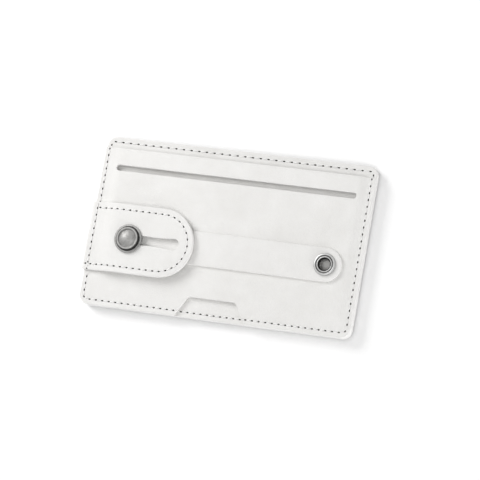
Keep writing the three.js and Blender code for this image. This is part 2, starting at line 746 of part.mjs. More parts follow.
// The stud that slides along the tab's slot
const stud = new THREE.Group();
stud.position.set(STUD_X, FASTENING_Y, 0);
stud.add(
  piece('stud_base', metal(0xb0b0ae, 0.4), studBase(), [0, 0, PANEL_TOP]),
  piece('stud_collar', metal(0xb5b5b2, 0.45), studCollar(), [0, 0, COLLAR_UNDER]),
  piece('stud_cap', metal(0xa9a9a6, 0.5), studCap(), [0, 0, CAP_UNDER]),
);

// The tab's face stands proud of the left edge, so the whole is moved to keep its middle on X = 0
const cardHolder = new THREE.Group();
cardHolder.position.x = TAB_LAYER / 2;
cardHolder.add(stickOn, pocket, tab, fastenedStrap, stud);

export default cardHolder;
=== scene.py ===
# %% [markdown]
# # A stick on phone card holder in white coated leather
#
# The holder lies on its stick on back. It is a flat sewn pocket with a long card slot and a thumb
# notch, and a finger strap that runs from a fixed eyelet to a stud in a slotted tab. The frame
# gives every solid at its true size and place. This script makes the leather, the stitches and
# the metal around it: each piece is built flat, as it is cut on a bench, and is then shaped.

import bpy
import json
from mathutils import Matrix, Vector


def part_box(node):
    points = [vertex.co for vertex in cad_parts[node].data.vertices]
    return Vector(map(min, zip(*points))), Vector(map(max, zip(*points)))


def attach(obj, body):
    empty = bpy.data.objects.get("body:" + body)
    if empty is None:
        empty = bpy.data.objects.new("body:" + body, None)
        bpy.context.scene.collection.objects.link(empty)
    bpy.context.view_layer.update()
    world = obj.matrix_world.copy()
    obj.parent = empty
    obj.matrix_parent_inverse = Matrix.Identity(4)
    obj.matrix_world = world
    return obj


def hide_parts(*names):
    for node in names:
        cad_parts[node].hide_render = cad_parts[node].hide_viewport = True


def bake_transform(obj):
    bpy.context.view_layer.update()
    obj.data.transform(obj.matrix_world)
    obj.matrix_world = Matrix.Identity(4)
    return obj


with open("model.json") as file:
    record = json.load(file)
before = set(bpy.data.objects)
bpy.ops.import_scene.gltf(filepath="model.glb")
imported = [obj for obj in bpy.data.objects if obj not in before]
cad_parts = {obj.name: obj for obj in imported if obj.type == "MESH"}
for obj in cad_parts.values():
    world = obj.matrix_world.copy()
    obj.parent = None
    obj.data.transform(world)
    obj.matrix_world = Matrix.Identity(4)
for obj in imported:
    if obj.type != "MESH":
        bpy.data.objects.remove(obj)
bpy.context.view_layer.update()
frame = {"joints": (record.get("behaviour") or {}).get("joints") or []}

# %% Tools and units
import json
import math

import bmesh
import bpy
from mathutils import Matrix, Vector, kdtree, noise

MM = 0.001
TINY = 1e-6

# %% [markdown]
# ## Sizes taken from the frame
#
# A maker measures the job before cutting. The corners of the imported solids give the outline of
# the pocket and the height of every layer, so a change in the frame moves everything here too.
# Only what the boxes can't tell, such as a seam's inset or a leather's gauge, is written down.

# %% Heights and outlines
back_low, back_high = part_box("back_panel")
LEFT, BOTTOM, BACK_UNDER = back_low
RIGHT, TOP, INNER_UNDER = back_high
FRONT_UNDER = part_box("inner_panel")[1].z
MOUTH_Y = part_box("front_panel")[1].y
PANEL_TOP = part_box("front_panel")[1].z
FRONT_GAUGE = 1.2 * MM
MARGIN_TOP = FRONT_UNDER + FRONT_GAUGE
POCKET_RISE = PANEL_TOP - MARGIN_TOP
PLATE_CORNER = 3.4 * MM
strap_low, strap_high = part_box("strap")
tab_low, tab_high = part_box("tab_lining")
FASTENING_Y = (strap_low.y + strap_high.y) / 2
STUD = (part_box("stud_cap")[0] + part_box("stud_cap")[1]) / 2
EYELET = (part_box("eyelet")[0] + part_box("eyelet")[1]) / 2
STUD_TRAVEL = frame["joints"][0]["range_m"][1]
print("pocket", round((RIGHT - LEFT) / MM, 1), "x", round((TOP - BOTTOM) / MM, 1), "mm")
print("front panel rises", round(POCKET_RISE / MM, 2), "mm inside its seams")

# %% Seams
SEAM_SIDE = 1.4 * MM
SEAM_END = 1.8 * MM
SEAM_CORNER = 1.6 * MM
SIDE_STITCH = 2.4 * MM
TOP_STITCH = 2.86 * MM
TAB_SEAM_INSET = 2 * MM
SEAM_LEFT = LEFT + SEAM_SIDE
SEAM_RIGHT = RIGHT - SEAM_SIDE
SEAM_BOTTOM = BOTTOM + SEAM_END
SEAM_TOP = TOP - SEAM_END
SIDE_SEAM_TOP = MOUTH_Y - 0.5 * MM

# %% [markdown]
# ## The camera
#
# The photo looks down on the holder from its lower right, with a long lens, and is rolled a
# little. Two tilts and a roll, a distance and an aim point say that in a way that can be changed
# by hand. The matrix's columns are the camera's right, up and back directions.

# %% Place the camera
TILT_RIGHT = math.radians(19.48)
TILT_UP = math.radians(-7.89)
ROLL = math.radians(9.95)
DISTANCE = 1129.85 * MM
AIM = Vector((5.53 * MM, -1.03 * MM, MARGIN_TOP))
LENS = 247.5
SENSOR = 36


def camera_axes():
    back = Vector((math.sin(TILT_RIGHT) * math.cos(TILT_UP), math.sin(TILT_UP), 0))
    back.z = math.cos(TILT_RIGHT) * math.cos(TILT_UP)
    level = Vector((math.cos(TILT_RIGHT), 0, -math.sin(TILT_RIGHT)))
    upright = back.cross(level)
    right = math.cos(ROLL) * level + math.sin(ROLL) * upright
    return right, back.cross(right), back


right, up, back = camera_axes()
lens = bpy.data.cameras.new("camera")
lens.lens = LENS
lens.sensor_width = SENSOR
lens.clip_end = 10
camera = bpy.data.objects.new("camera", lens)
bpy.context.scene.collection.objects.link(camera)
camera.matrix_world = Matrix((right, up, back)).transposed().to_4x4()
camera.location = AIM + back * DISTANCE
bpy.context.scene.camera = camera
print("camera at", [round(c / MM) for c in camera.location], "mm")

# %% [markdown]
# ## Helpers for modelling
#
# Everything is modelled as by hand: a primitive is added at its size and place, opened in edit
# mode, and some of its vertices, edges or faces are selected and changed. An operator acts on all
# that is selected, so each helper starts by selecting nothing and then picks what it wants by
# place or by normal.

# %% Selecting and applying


def use(piece):
    """Makes piece the only selected object and the active one."""
    bpy.ops.object.select_all(action="DESELECT")
    piece.select_set(True)
    bpy.context.view_layer.objects.active = piece


def edit(piece, kind, wanted):
    """Opens piece in edit mode with the VERT, EDGE or FACE items selected that are wanted."""
    use(piece)
    bpy.ops.object.mode_set(mode="EDIT")
    bpy.ops.mesh.select_mode(type=kind)
    bpy.ops.mesh.select_all(action="DESELECT")
    shape = bmesh.from_edit_mesh(piece.data)
    items = {"VERT": shape.verts, "EDGE": shape.edges, "FACE": shape.faces}[kind]
    chosen = [item for item in items if wanted(item)]
    for item in chosen:
        item.select_set(True)
    bmesh.update_edit_mesh(piece.data)
    return len(chosen)


def close_edit():
    bpy.ops.object.mode_set(mode="OBJECT")


def apply(piece, modifier):
    """Applies one modifier, as its menu in the properties does."""
    use(piece)
    bpy.ops.object.modifier_apply(modifier=modifier.name)


def cut(piece, *cutters):
    """Takes each cutter's shape out of piece, and the cutter away."""
    for cutter in cutters:
        change = piece.modifiers.new("cut", "BOOLEAN")
        change.operation = "DIFFERENCE"
        change.solver = "EXACT"
        change.material_mode = "TRANSFER"
        change.object = cutter
        apply(piece, change)
        bpy.data.objects.remove(cutter)


def move_points(piece, place):
    for vertex in piece.data.vertices:
        vertex.co = place(vertex.co)
    piece.data.update()


def smooth(piece, degrees=38):
    """Shades piece smooth, apart from edges that are sharper than degrees."""
    use(piece)
    bpy.ops.object.shade_smooth_by_angle(angle=math.radians(degrees))
    return piece


# %% [markdown]
# A leather part starts as a slab: a cube at the size of the cut, whose upright edges are bevelled
# into round corners. Its rims are eased last, after the holes are cut, because a real edge is
# sanded and painted all round, holes too.

# %% Slabs, rims and score lines
CORNER_STEPS = 10
WALL_TILT = 0.3
FLAT_TILT = 0.9


def upright(edge):
    a, b = (v.co for v in edge.verts)
    return math.dist(a.xy, b.xy) < TINY


def slab(name, low, high, corners=(0, 0, 0, 0)):
    """A slab between two corners, with radii at left bottom, right bottom, right top, left top."""
    low, high = Vector(low), Vector(high)
    bpy.ops.object.select_all(action="DESELECT")
    bpy.ops.mesh.primitive_cube_add(size=1, location=(low + high) / 2, scale=high - low)
    piece = bpy.context.object
    piece.name = piece.data.name = name
    bpy.ops.object.transform_apply(location=True, rotation=True, scale=True)
    places = [(low.x, low.y), (high.x, low.y), (high.x, high.y), (low.x, high.y)]
    for radius in sorted({r for r in corners if r > 0}):
        mine = [place for place, r in zip(places, corners) if r == radius]

        def at_corner(edge):
            point = edge.verts[0].co.xy
            return upright(edge) and any(math.dist(point, place) < TINY for place in mine)

        edit(piece, "EDGE", at_corner)
        bpy.ops.mesh.bevel(
            offset=radius, segments=CORNER_STEPS, affect="EDGES", clamp_overlap=False
        )
        close_edit()
    return piece


def rod(name, centre, radius, low, high, sides=48):
    bpy.ops.object.select_all(action="DESELECT")
    bpy.ops.mesh.primitive_cylinder_add(
        vertices=sides,
        radius=radius,
        depth=high - low,
        location=(centre[0], centre[1], (low + high) / 2),
    )
    piece = bpy.context.object
    piece.name = piece.data.name = name
    bpy.ops.object.transform_apply(location=True, rotation=True, scale=True)
    return piece


def ease_rims(piece, width, steps=3):
    """Rounds each rim where a flat face meets a wall."""

    def rim(edge):
        if len(edge.link_faces) != 2:
            return False
        tilt = sorted(abs(face.normal.z) for face in edge.link_faces)
        return tilt[0] < WALL_TILT and tilt[1] > FLAT_TILT

    count = edit(piece, "EDGE", rim)
    bpy.ops.mesh.bevel(
        offset=width, segments=steps, profile=0.5, affect="EDGES", clamp_overlap=False
    )
    close_edit()
    return count


def score(piece, xs=(), ys=()):
    """Cuts lines across piece, so that its flat faces have points to move."""
    use(piece)
    bpy.ops.object.mode_set(mode="EDIT")
    for axis, places in ((0, xs), (1, ys)):
        for place in places:
            point, normal = Vector(), Vector()
            point[axis] = place
            normal[axis] = 1
            bpy.ops.mesh.select_all(action="SELECT")
            bpy.ops.mesh.bisect(plane_co=point, plane_no=normal, threshold=TINY)
    close_edit()
    return piece


def copies(model, name, places):
    """Copies a modelled piece to each place, with its own mesh each, and joins the copies."""
    made = []
    for place in places:
        copy = bpy.data.objects.new(name, model.data.copy())
        bpy.context.scene.collection.objects.link(copy)
        copy.data.transform(place)
        made.append(copy)
    bpy.data.objects.remove(model)
    bpy.ops.object.select_all(action="DESELECT")
    for copy in made:
        copy.select_set(True)
    bpy.context.view_layer.objects.active = made[0]
    bpy.ops.object.join()
    made[0].name = made[0].data.name = name
    return made[0]


# %% [markdown]
# ## The seams as routes
#
# A seam is a line in plan, made of straight runs and round corners. Walking along it at the
# stitch length gives the needle holes, and two holes in a row give a stitch. The same walk is
# used for the holes in the leather and for the thread, so they can't drift apart.

# %% A route that can be walked


class Route:
    """A seam's line in plan."""

    def __init__(self, start):
        self.end = Vector(start)
        self.parts = []
        self.length = 0

    def add(self, length, where):
        """Adds a part. where(distance) gives its point and its direction there."""
        self.parts.append((self.length, length, where))
        self.length += length
        self.end = where(length)[0]
        return self

    def line(self, end):
        start, end = self.end.copy(), Vector(end)
        way = (end - start).normalized()
        return self.add((end - start).length, lambda d: (start + way * d, way))

    def turn(self, centre, radius, start, sweep):
        """Round a centre from a start angle, counter-clockwise where sweep is positive."""
        centre = Vector(centre)
        hand = math.copysign(1, sweep)

        def where(d):
            angle = start + hand * d / radius
            out = Vector((math.cos(angle), math.sin(angle)))
            return centre + out * radius, Vector((-out.y, out.x)) * hand

        return self.add(abs(sweep) * radius, where)

    def at(self, distance):
        """The point and the direction after that distance along the route."""
        for start, length, where in self.parts:
            if distance <= start + length + TINY:
                return where(distance - start)
        return self.parts[-1][2](self.parts[-1][1])

    def holes(self, stitch):
        """Even needle holes from end to end, a stitch apart or nearly so."""
        count = round(self.length / stitch)
        return [self.at(self.length * i / count) for i in range(count + 1)]


# %% Walk the three seams
TAB_RADIUS = (tab_high.y - tab_low.y) / 2
TAB_END = tab_high.x - TAB_RADIUS
QUARTER = math.pi / 2
CORNER_STITCH = 1.5 * MM

side_route = Route((SEAM_LEFT, SIDE_SEAM_TOP))
side_route.line((SEAM_LEFT, SEAM_BOTTOM + SEAM_CORNER))
low_corner = (SEAM_LEFT + SEAM_CORNER, SEAM_BOTTOM + SEAM_CORNER)
side_route.turn(low_corner, SEAM_CORNER, math.pi, QUARTER)
side_route.line((SEAM_RIGHT - SEAM_CORNER, SEAM_BOTTOM))
low_corner = (SEAM_RIGHT - SEAM_CORNER, SEAM_BOTTOM + SEAM_CORNER)
side_route.turn(low_corner, SEAM_CORNER, -QUARTER, QUARTER)
side_route.line((SEAM_RIGHT, SIDE_SEAM_TOP))
side_holes = side_route.holes(SIDE_STITCH)
upward = Vector((0, 1))
corner_holes = [
    (Vector((x, SIDE_SEAM_TOP + CORNER_STITCH)), upward) for x in (SEAM_LEFT, SEAM_RIGHT)
]
side_holes = corner_holes[:1] + side_holes + corner_holes[1:]

TOP_SEAM_REACH = 1.3 * MM
top_route = Route((SEAM_LEFT + TOP_SEAM_REACH, SEAM_TOP))
top_route.line((SEAM_RIGHT - TOP_SEAM_REACH, SEAM_TOP))
top_holes = top_route.holes(TOP_STITCH)

TAB_SEAM_RADIUS = TAB_RADIUS - TAB_SEAM_INSET
TAB_SEAM_START = SEAM_LEFT + 1 * MM


def tab_route(start):
    route = Route((start, FASTENING_Y + TAB_SEAM_RADIUS))
    route.line((TAB_END, FASTENING_Y + TAB_SEAM_RADIUS))
    route.turn((TAB_END, FASTENING_Y), TAB_SEAM_RADIUS, QUARTER, -math.pi)
    return route.line((start, FASTENING_Y - TAB_SEAM_RADIUS))


tab_holes = tab_route(TAB_SEAM_START).holes(SIDE_STITCH)
TAB_LAST_STITCH = 1.8 * MM
last_point, last_way = tab_holes[-1]
tab_holes.append((last_point + last_way * TAB_LAST_STITCH, last_way))
print("needle holes: side", len(side_holes), "top", len(top_holes), "tab", len(tab_holes))

# %% [markdown]
# ## How the leather lies
#
# The front panel rises inside its seams to leave room for a card. The tab starts on the margin,
# climbs over panel and strap and is then level. Both are smooth curves of the place in plan, so
# they are functions, and the flat pieces are moved onto them.

# %% Rise of the panel, ramp of the tab
RISE_START = 0.4 * MM
SIDE_RISE = 6 * MM
RIGHT_RISE = 4 * MM
LOW_RISE = 12 * MM
TAB_SEAM_ROOM = 0.3 * MM
TAB_RAMP = 9.5 * MM
TAB_PANEL_GAP = 0.05 * MM
TAB_GAUGE = 0.7 * MM
TAB_UNDER = tab_high.z - TAB_GAUGE


def rise_share(distance, length):
    t = min(max((distance - RISE_START) / length, 0), 1)
    return t**3 * (6 * t * t - 15 * t + 10)


def panel_rise(x, y):
    left = rise_share(x - SEAM_LEFT, SIDE_RISE)
    right = rise_share(SEAM_RIGHT - x, RIGHT_RISE)
    return POCKET_RISE * left * right * rise_share(y - SEAM_BOTTOM, LOW_RISE)


def tab_under(x):
    t = min(max((x - SEAM_LEFT - TAB_SEAM_ROOM) / TAB_RAMP, 0), 1)
    ramp = (TAB_UNDER - MARGIN_TOP) * 0.5 * (1 - math.cos(math.pi * t))
    panel = POCKET_RISE * rise_share(x - SEAM_LEFT, SIDE_RISE)
    return MARGIN_TOP + max(ramp, panel + TAB_PANEL_GAP if panel > 0 else 0)


def on_tab(x, y):
    return x < TAB_END and tab_low.y < y < tab_high.y


print("tab climbs", round((TAB_UNDER - MARGIN_TOP) / MM, 2), "mm")

# %% [markdown]
# Where a needle went through, the thread pulls the leather down into a small dent, and between
# two holes it stays a little fuller. A lookup of the nearest hole gives the depth of the dent at
# any point, and it is added to the height of the leather.

# %% Dents round the needle holes
DENT_DEPTH = 0.13 * MM
DENT_REACH = 0.95 * MM
UNDULATION = 0.06 * MM
UNDULATION_LENGTH = 17 * MM


def hole_finder(holes):
    finder = kdtree.KDTree(len(holes))
    for i, (point, _) in enumerate(holes):
        finder.insert((point.x, point.y, 0), i)
    finder.balance()
    return finder


def dent(finder, x, y):
    distance = finder.find((x, y, 0))[2]
    return -DENT_DEPTH * math.exp(-((distance / DENT_REACH) ** 2))


def sag(x, y, seed):
    """A slow hollow in a leather's surface: it only goes down, so nothing above is touched."""
    wave = noise.noise(Vector((x, y, seed * UNDULATION_LENGTH)) / UNDULATION_LENGTH)
    return -UNDULATION * (0.5 + 0.5 * wave)


# %% [markdown]
# ## Shared material effects
#
# Coated leather, whatever piece it is on, has the same fine pebbled grain and the same slight
# cloudiness, and both metals show the rings of the lathe. Each effect is a node group, built once,
# with named inputs and outputs, and each material places it with its own values.

# %% Node helpers


def new_group(name, inputs, outputs):
    """A shader node group. inputs and outputs are pairs of a name and float or vector."""
    kinds = {"float": "NodeSocketFloat", "vector": "NodeSocketVector"}
    group = bpy.data.node_groups.new(name, "ShaderNodeTree")
    for direction, sockets in (("INPUT", inputs), ("OUTPUT", outputs)):
        for label, kind in sockets:
            group.interface.new_socket(name=label, in_out=direction, socket_type=kinds[kind])
    entry = group.nodes.new("NodeGroupInput")
    leave = group.nodes.new("NodeGroupOutput")
    return group, entry.outputs, leave.inputs


def put(tree, kind, values=None, **settings):
    """Adds a node to tree, with settings of its own and values for its input sockets."""
    made = tree.nodes.new(kind)
    for name, value in settings.items():
        setattr(made, name, value)
    for name, value in (values or {}).items():
        if isinstance(value, bpy.types.NodeSocket):
            tree.links.new(value, made.inputs[name])
        else:
            made.inputs[name].default_value = value
    return made


def math_node(tree, operation, a, b=0.0, c=0.0):
    return put(tree, "ShaderNodeMath", {0: a, 1: b, 2: c}, operation=operation).outputs[0]


def length_of(tree, vector):
    return put(tree, "ShaderNodeVectorMath", {0: vector}, operation="LENGTH").outputs["Value"]


def spread(tree, value, low, high, to_low, to_high):
    """Maps value from one range to another and keeps it inside."""
    values = {"Value": value, "From Min": low, "From Max": high}
    values.update({"To Min": to_low, "To Max": to_high})
    return put(tree, "ShaderNodeMapRange", values).outputs["Result"]


def blend_colours(tree, share, first, second):
    """Mixes two colours, each of them a socket or red, green and blue."""
    ends = [c if isinstance(c, bpy.types.NodeSocket) else (*c, 1) for c in (first, second)]
    mix = put(tree, "ShaderNodeMix", {0: share, 6: ends[0], 7: ends[1]}, data_type="RGBA")
    return mix.outputs[2]


# %% Leather grain
GRAIN_WANDER = 0.4 * MM
PEBBLE_SLOPE = 0.35
CREASE_WIDTH = 0.09


def grain_group():
    """Pebbles parted by fine creases, as in the skin of coated leather."""
    group, given, result = new_group(
        "Leather grain",
        [("Place", "vector"), ("Pebbles per metre", "float")],
        [("Height", "float"), ("Crease", "float")],
    )
    cells = {"Vector": given[0], "Scale": given[1]}
    wander = put(group, "ShaderNodeTexNoise", {**cells, "Detail": 2.0})
    shift = put(group, "ShaderNodeVectorMath", {0: wander.outputs["Color"]}, operation="SCALE")
    shift.inputs["Scale"].default_value = GRAIN_WANDER
    moved = put(group, "ShaderNodeVectorMath", {0: given[0], 1: shift.outputs[0]})
    cells["Vector"] = moved.outputs[0]
    edge = put(group, "ShaderNodeTexVoronoi", cells, feature="DISTANCE_TO_EDGE")
    pebble = spread(group, edge.outputs["Distance"], 0.0, PEBBLE_SLOPE, 0.0, 1.0)
    crease = spread(group, edge.outputs["Distance"], 0.0, CREASE_WIDTH, 1.0, 0.0)
    fine = put(group, "ShaderNodeTexNoise", {**cells, "Detail": 4.0, "Roughness": 0.6})
    height = math_node(group, "MULTIPLY_ADD", fine.outputs["Fac"], 0.5, pebble)
    group.links.new(height, result[0])
    group.links.new(crease, result[1])
    return group


# %% Cloudiness and lathe rings


def cloud_group():
    """Slow uneven patches, as dye, coating and handling leave them."""
    group, given, result = new_group(
        "Cloudiness",
        [("Place", "vector"), ("Patches per metre", "float"), ("Amount", "float")],
        [("Cloud", "float")],
    )
    source = {"Vector": given[0], "Scale": given[1], "Detail": 5.0, "Roughness": 0.62}
    patch = put(group, "ShaderNodeTexNoise", source)
    centred = math_node(group, "SUBTRACT", patch.outputs["Fac"], 0.5)
    cloud = math_node(group, "MULTIPLY_ADD", centred, given[2], 0.5)
    group.links.new(cloud, result[0])
    return group


def from_axis(tree, place):
    """The distance of a place from the Z axis."""
    apart = put(tree, "ShaderNodeSeparateXYZ", {0: place})
    flat = put(tree, "ShaderNodeCombineXYZ", {0: apart.outputs[0], 1: apart.outputs[1]})
    return length_of(tree, flat.outputs[0])


def ring_group():
    """Rings round the Z axis, uneven in depth, as a lathe tool leaves them."""
    group, given, result = new_group(
        "Lathe rings",
        [("Place", "vector"), ("Rings per metre", "float")],
        [("Height", "float"), ("Streak", "float")],
    )
    radius = from_axis(group, given[0])
    turns = math_node(group, "MULTIPLY", radius, given[1])
    line = put(group, "ShaderNodeCombineXYZ", {0: turns})
    tool = put(group, "ShaderNodeTexNoise", {"Vector": line.outputs[0], "Scale": 1.0})
    wave = math_node(group, "SINE", math_node(group, "MULTIPLY", turns, 2 * math.pi))
    height = math_node(group, "MULTIPLY", wave, tool.outputs["Fac"])
    group.links.new(height, result[0])
    group.links.new(tool.outputs["Fac"], result[1])
    return group


def ring_shade_group():
    """A dark ring at a radius from the Z axis: painted shade, where grooves and shoulders lie in
    shade.
    """
    group, given, result = new_group(
        "Painted ring shade",
        [("Place", "vector"), ("Radius", "float"), ("Half width", "float")],
        [("Mask", "float")],
    )
    radius = from_axis(group, given[0])
    off = math_node(group, "SUBTRACT", radius, given[1])
    away = math_node(group, "DIVIDE", math_node(group, "ABSOLUTE", off), given[2])
    rough = put(group, "ShaderNodeTexNoise", {"Vector": given[0], "Scale": 3000.0})
    edge = math_node(group, "MULTIPLY_ADD", rough.outputs["Fac"], 0.4, away)
    fall = {"Value": edge, "From Min": 0.5, "From Max": 1.2, "To Min": 1.0, "To Max": 0.0}
    mask = put(group, "ShaderNodeMapRange", fall, interpolation_type="SMOOTHSTEP")
    group.links.new(mask.outputs["Result"], result[0])
    return group


GRAIN = grain_group()
CLOUD = cloud_group()
RINGS = ring_group()
RING_SHADE = ring_shade_group()
print("node groups:", [group.name for group in (GRAIN, CLOUD, RINGS, RING_SHADE)])

# %% [markdown]
# ## Leather, edge paint and backing
#
# The skin is a satin coating on a knitted backing. Grain goes into the bump and, very faintly,
# into the colour: its creases are painted darker, as painted shade. Cut edges are sanded and
# painted, so they are smoother than the skin and have no grain. The backing shows a fine knit,
# whose hollows are painted darker too, as painted shade.

# %% Start of a material


def new_material(name):
    """A material with its shader, its tree and the place on the object as a vector."""
    material = bpy.data.materials.new(name)
    material.use_nodes = True
    tree = material.node_tree
    shader = tree.nodes["Principled BSDF"]
    place = put(tree, "ShaderNodeTexCoord").outputs["Object"]
    return material, tree, shader, place


def use_group(tree, group, **values):
    node = put(tree, "ShaderNodeGroup")
    node.node_tree = group
    for name, value in values.items():
        socket = node.inputs[name.replace("_", " ").capitalize()]
        if isinstance(value, bpy.types.NodeSocket):
            tree.links.new(value, socket)
        else:
            socket.default_value = value
    return node.outputs


def coat(tree, shader, colour, gloss, height, depth):
    """Feeds the shader a colour, a roughness, and a relief of the given depth in metres."""
    tree.links.new(colour, shader.inputs["Base Color"])
    tree.links.new(gloss, shader.inputs["Roughness"])
    values = {"Height": height, "Distance": depth, "Strength": 1.0}
    bump = put(tree, "ShaderNodeBump", values)
    tree.links.new(bump.outputs["Normal"], shader.inputs["Normal"])


# %% The skin
PEBBLE = 0.42 * MM
COARSE_PEBBLE = 0.46 * MM
GRAIN_DEPTH = 0.04 * MM
SATIN = 0.56


def leather_skin(name, light, dark, pebble=PEBBLE):
    material, tree, shader, place = new_material(name)
    grain = use_group(tree, GRAIN, Place=place, Pebbles_per_metre=1 / pebble)
    cloud = use_group(tree, CLOUD, Place=place, Patches_per_metre=90.0, Amount=1.6)
    # Darker in the creases of the grain: painted shade.
    shade = math_node(tree, "MULTIPLY_ADD", grain["Crease"], 0.25, cloud["Cloud"])
    colour = blend_colours(tree, spread(tree, shade, 0.2, 1.0, 0.0, 1.0), light, dark)
    gloss = spread(tree, cloud["Cloud"], 0.0, 1.0, SATIN - 0.07, SATIN + 0.09)
    shader.inputs["IOR"].default_value = 1.4
    shader.inputs["Specular IOR Level"].default_value = 0.35
    coat(tree, shader, colour, gloss, grain["Height"], GRAIN_DEPTH)
    return material


FRONT_SKIN = leather_skin("Front skin", (0.845, 0.838, 0.822), (0.775, 0.765, 0.745))
TAB_SKIN = leather_skin("Tab skin", (0.845, 0.838, 0.823), (0.785, 0.775, 0.757))
PLAIN_SKIN = leather_skin("Plain skin", (0.83, 0.822, 0.806), (0.76, 0.75, 0.73), COARSE_PEBBLE)

# %% Edge paint and backing


def edge_paint():
    material, tree, shader, place = new_material("Edge paint")
    cloud = use_group(tree, CLOUD, Place=place, Patches_per_metre=700.0, Amount=1.5)
    colour = blend_colours(tree, cloud["Cloud"], (0.875, 0.868, 0.855), (0.82, 0.812, 0.798))
    gloss = spread(tree, cloud["Cloud"], 0.0, 1.0, 0.42, 0.62)
    coat(tree, shader, colour, gloss, cloud["Cloud"], 0.03 * MM)
    return material


def knit_backing():
    material, tree, shader, place = new_material("Knit backing")
    ribs = put(tree, "ShaderNodeTexWave", {"Vector": place, "Scale": 260.0, "Distortion": 1.2})
    rows = put(
        tree, "ShaderNodeTexWave", {"Vector": place, "Scale": 190.0}, bands_direction="Y"
    )
    loops = math_node(tree, "MULTIPLY", ribs.outputs["Fac"], rows.outputs["Fac"])
    # Darker in the hollows of the knit: painted shade.
    colour = blend_colours(tree, loops, (0.66, 0.65, 0.63), (0.8, 0.79, 0.775))
    gloss = spread(tree, loops, 0.0, 1.0, 0.95, 0.85)
    coat(tree, shader, colour, gloss, loops, 0.06 * MM)
    return material


EDGE_PAINT = edge_paint()
BACKING = knit_backing()


def dress(piece, top, under=None):
    """Gives a flat piece its skin on top, paint on its edges, and its skin or backing below."""
    piece.data.materials.clear()
    for material in (top, EDGE_PAINT, under or BACKING):
        piece.data.materials.append(material)
    for face in piece.data.polygons:
        if abs(face.normal.z) < 0.8:
            face.material_index = 1
        else:
            face.material_index = 0 if face.normal.z > 0 else 2


print("leather materials:", FRONT_SKIN.name, TAB_SKIN.name, PLAIN_SKIN.name)

# %% [markdown]
# ## Needle holes
#
# A leather needle leaves a small pointed oval hole. One punch is modelled, copied to every hole
# and turned along the seam, and all of them are cut out of the leather at once. They are blind:
# what shows is a dark pit between the ends of two stitches. The punches leave their own rough,
# near black material in the cut: painted shade, far darker than raw leather, for the shade in the
# pit.

# %% The punch
PUNCH_LENGTH = 1.1 * MM
PUNCH_WIDTH = 0.62 * MM
PUNCH_DEPTH = 0.55 * MM
PUNCH_CLEAR = 0.6 * MM


# Painted shade: the inside of a needle hole is coloured near black, far darker than the raw
# leather.
def hole_shade_material():
    material, tree, shader, place = new_material("Painted hole shade")
    fibre = put(tree, "ShaderNodeTexNoise", {"Vector": place, "Scale": 7000.0, "Detail": 4.0})
    hole_speckle = fibre.outputs["Fac"]
    colour = blend_colours(tree, hole_speckle, (0.07, 0.066, 0.06), (0.2, 0.19, 0.175))
    gloss = spread(tree, hole_speckle, 0.3, 0.7, 0.8, 1.0)
    coat(tree, shader, colour, gloss, hole_speckle, 0.05 * MM)
    return material


HOLE_SHADE = hole_shade_material()


def punch_at(point, way, surface):
    """The place of a punch: on the surface, with its length along the seam."""
    turn = Matrix.Rotation(math.atan2(way.y, way.x), 4, "Z")
    return Matrix.Translation((point.x, point.y, surface)) @ turn


def needle_punch(holes, height, side=1):
    """A cutter with a punch at every hole, whose surface height is height(x, y)."""
    model = rod("punch", (0, 0), 0.5, -PUNCH_DEPTH, PUNCH_CLEAR, sides=10)
    edit(model, "VERT", lambda v: v.co.z < 0)
    bpy.ops.transform.resize(value=(0.7, 0.7, 1))
    close_edit()
    move_points(model, lambda p: Vector((p.x * PUNCH_LENGTH, p.y * PUNCH_WIDTH, p.z * side)))
    if side < 0:
        model.data.flip_normals()
    # Each hole takes the punch's near black colour: painted shade.
    model.data.materials.append(HOLE_SHADE)
    places = [punch_at(point, way, height(point.x, point.y)) for point, way in holes]
    return copies(model, "punches", places)


# %% [markdown]
# ## The thumb notch and the card slot
#
# The notch is a trapezoid that is open at the bottom edge: its cutter is a slab whose top is
# narrowed, with rounded upper corners. The slot is as wide as a card and a little more, and has
# round ends, so its cutter is a slab whose corner radius is half its height.

# %% Cutters for notch and slot
NOTCH_MIDDLE = -1.2 * MM + (LEFT + RIGHT) / 2
NOTCH_TOP_WIDTH = 17.2 * MM
NOTCH_BOTTOM_WIDTH = 26 * MM
NOTCH_HEIGHT = 7.15 * MM
NOTCH_TOP = BOTTOM + NOTCH_HEIGHT
NOTCH_CORNER = 1 * MM
CARD_SLOT_WIDTH = 88 * MM
CARD_SLOT_HEIGHT = 2 * MM
CARD_SLOT_Y = TOP - 11.05 * MM
CARD_SLOT_MIDDLE = -0.1 * MM + (LEFT + RIGHT) / 2
CUT_CLEAR = 2 * MM
CUTTER_ROUND = 0.98


def notch_half(y):
    share = (y - BOTTOM) / NOTCH_HEIGHT
    return (NOTCH_BOTTOM_WIDTH * (1 - share) + NOTCH_TOP_WIDTH * share) / 2


def notch_cutter(under, over):
    low_y = BOTTOM - CUT_CLEAR
    half = notch_half(low_y)
    low = (NOTCH_MIDDLE - half, low_y, under)
    high = (NOTCH_MIDDLE + half, NOTCH_TOP, over)
    cutter = slab("notch", low, high)
    narrow = notch_half(NOTCH_TOP) / half

    def taper(p):
        if p.y < NOTCH_TOP - TINY:
            return p
        return Vector((NOTCH_MIDDLE + (p.x - NOTCH_MIDDLE) * narrow, p.y, p.z))

    move_points(cutter, taper)
    edit(cutter, "EDGE", lambda e: upright(e) and e.verts[0].co.y > NOTCH_TOP - TINY)
    bpy.ops.mesh.bevel(offset=NOTCH_CORNER, segments=6, affect="EDGES")
    close_edit()
    return cutter


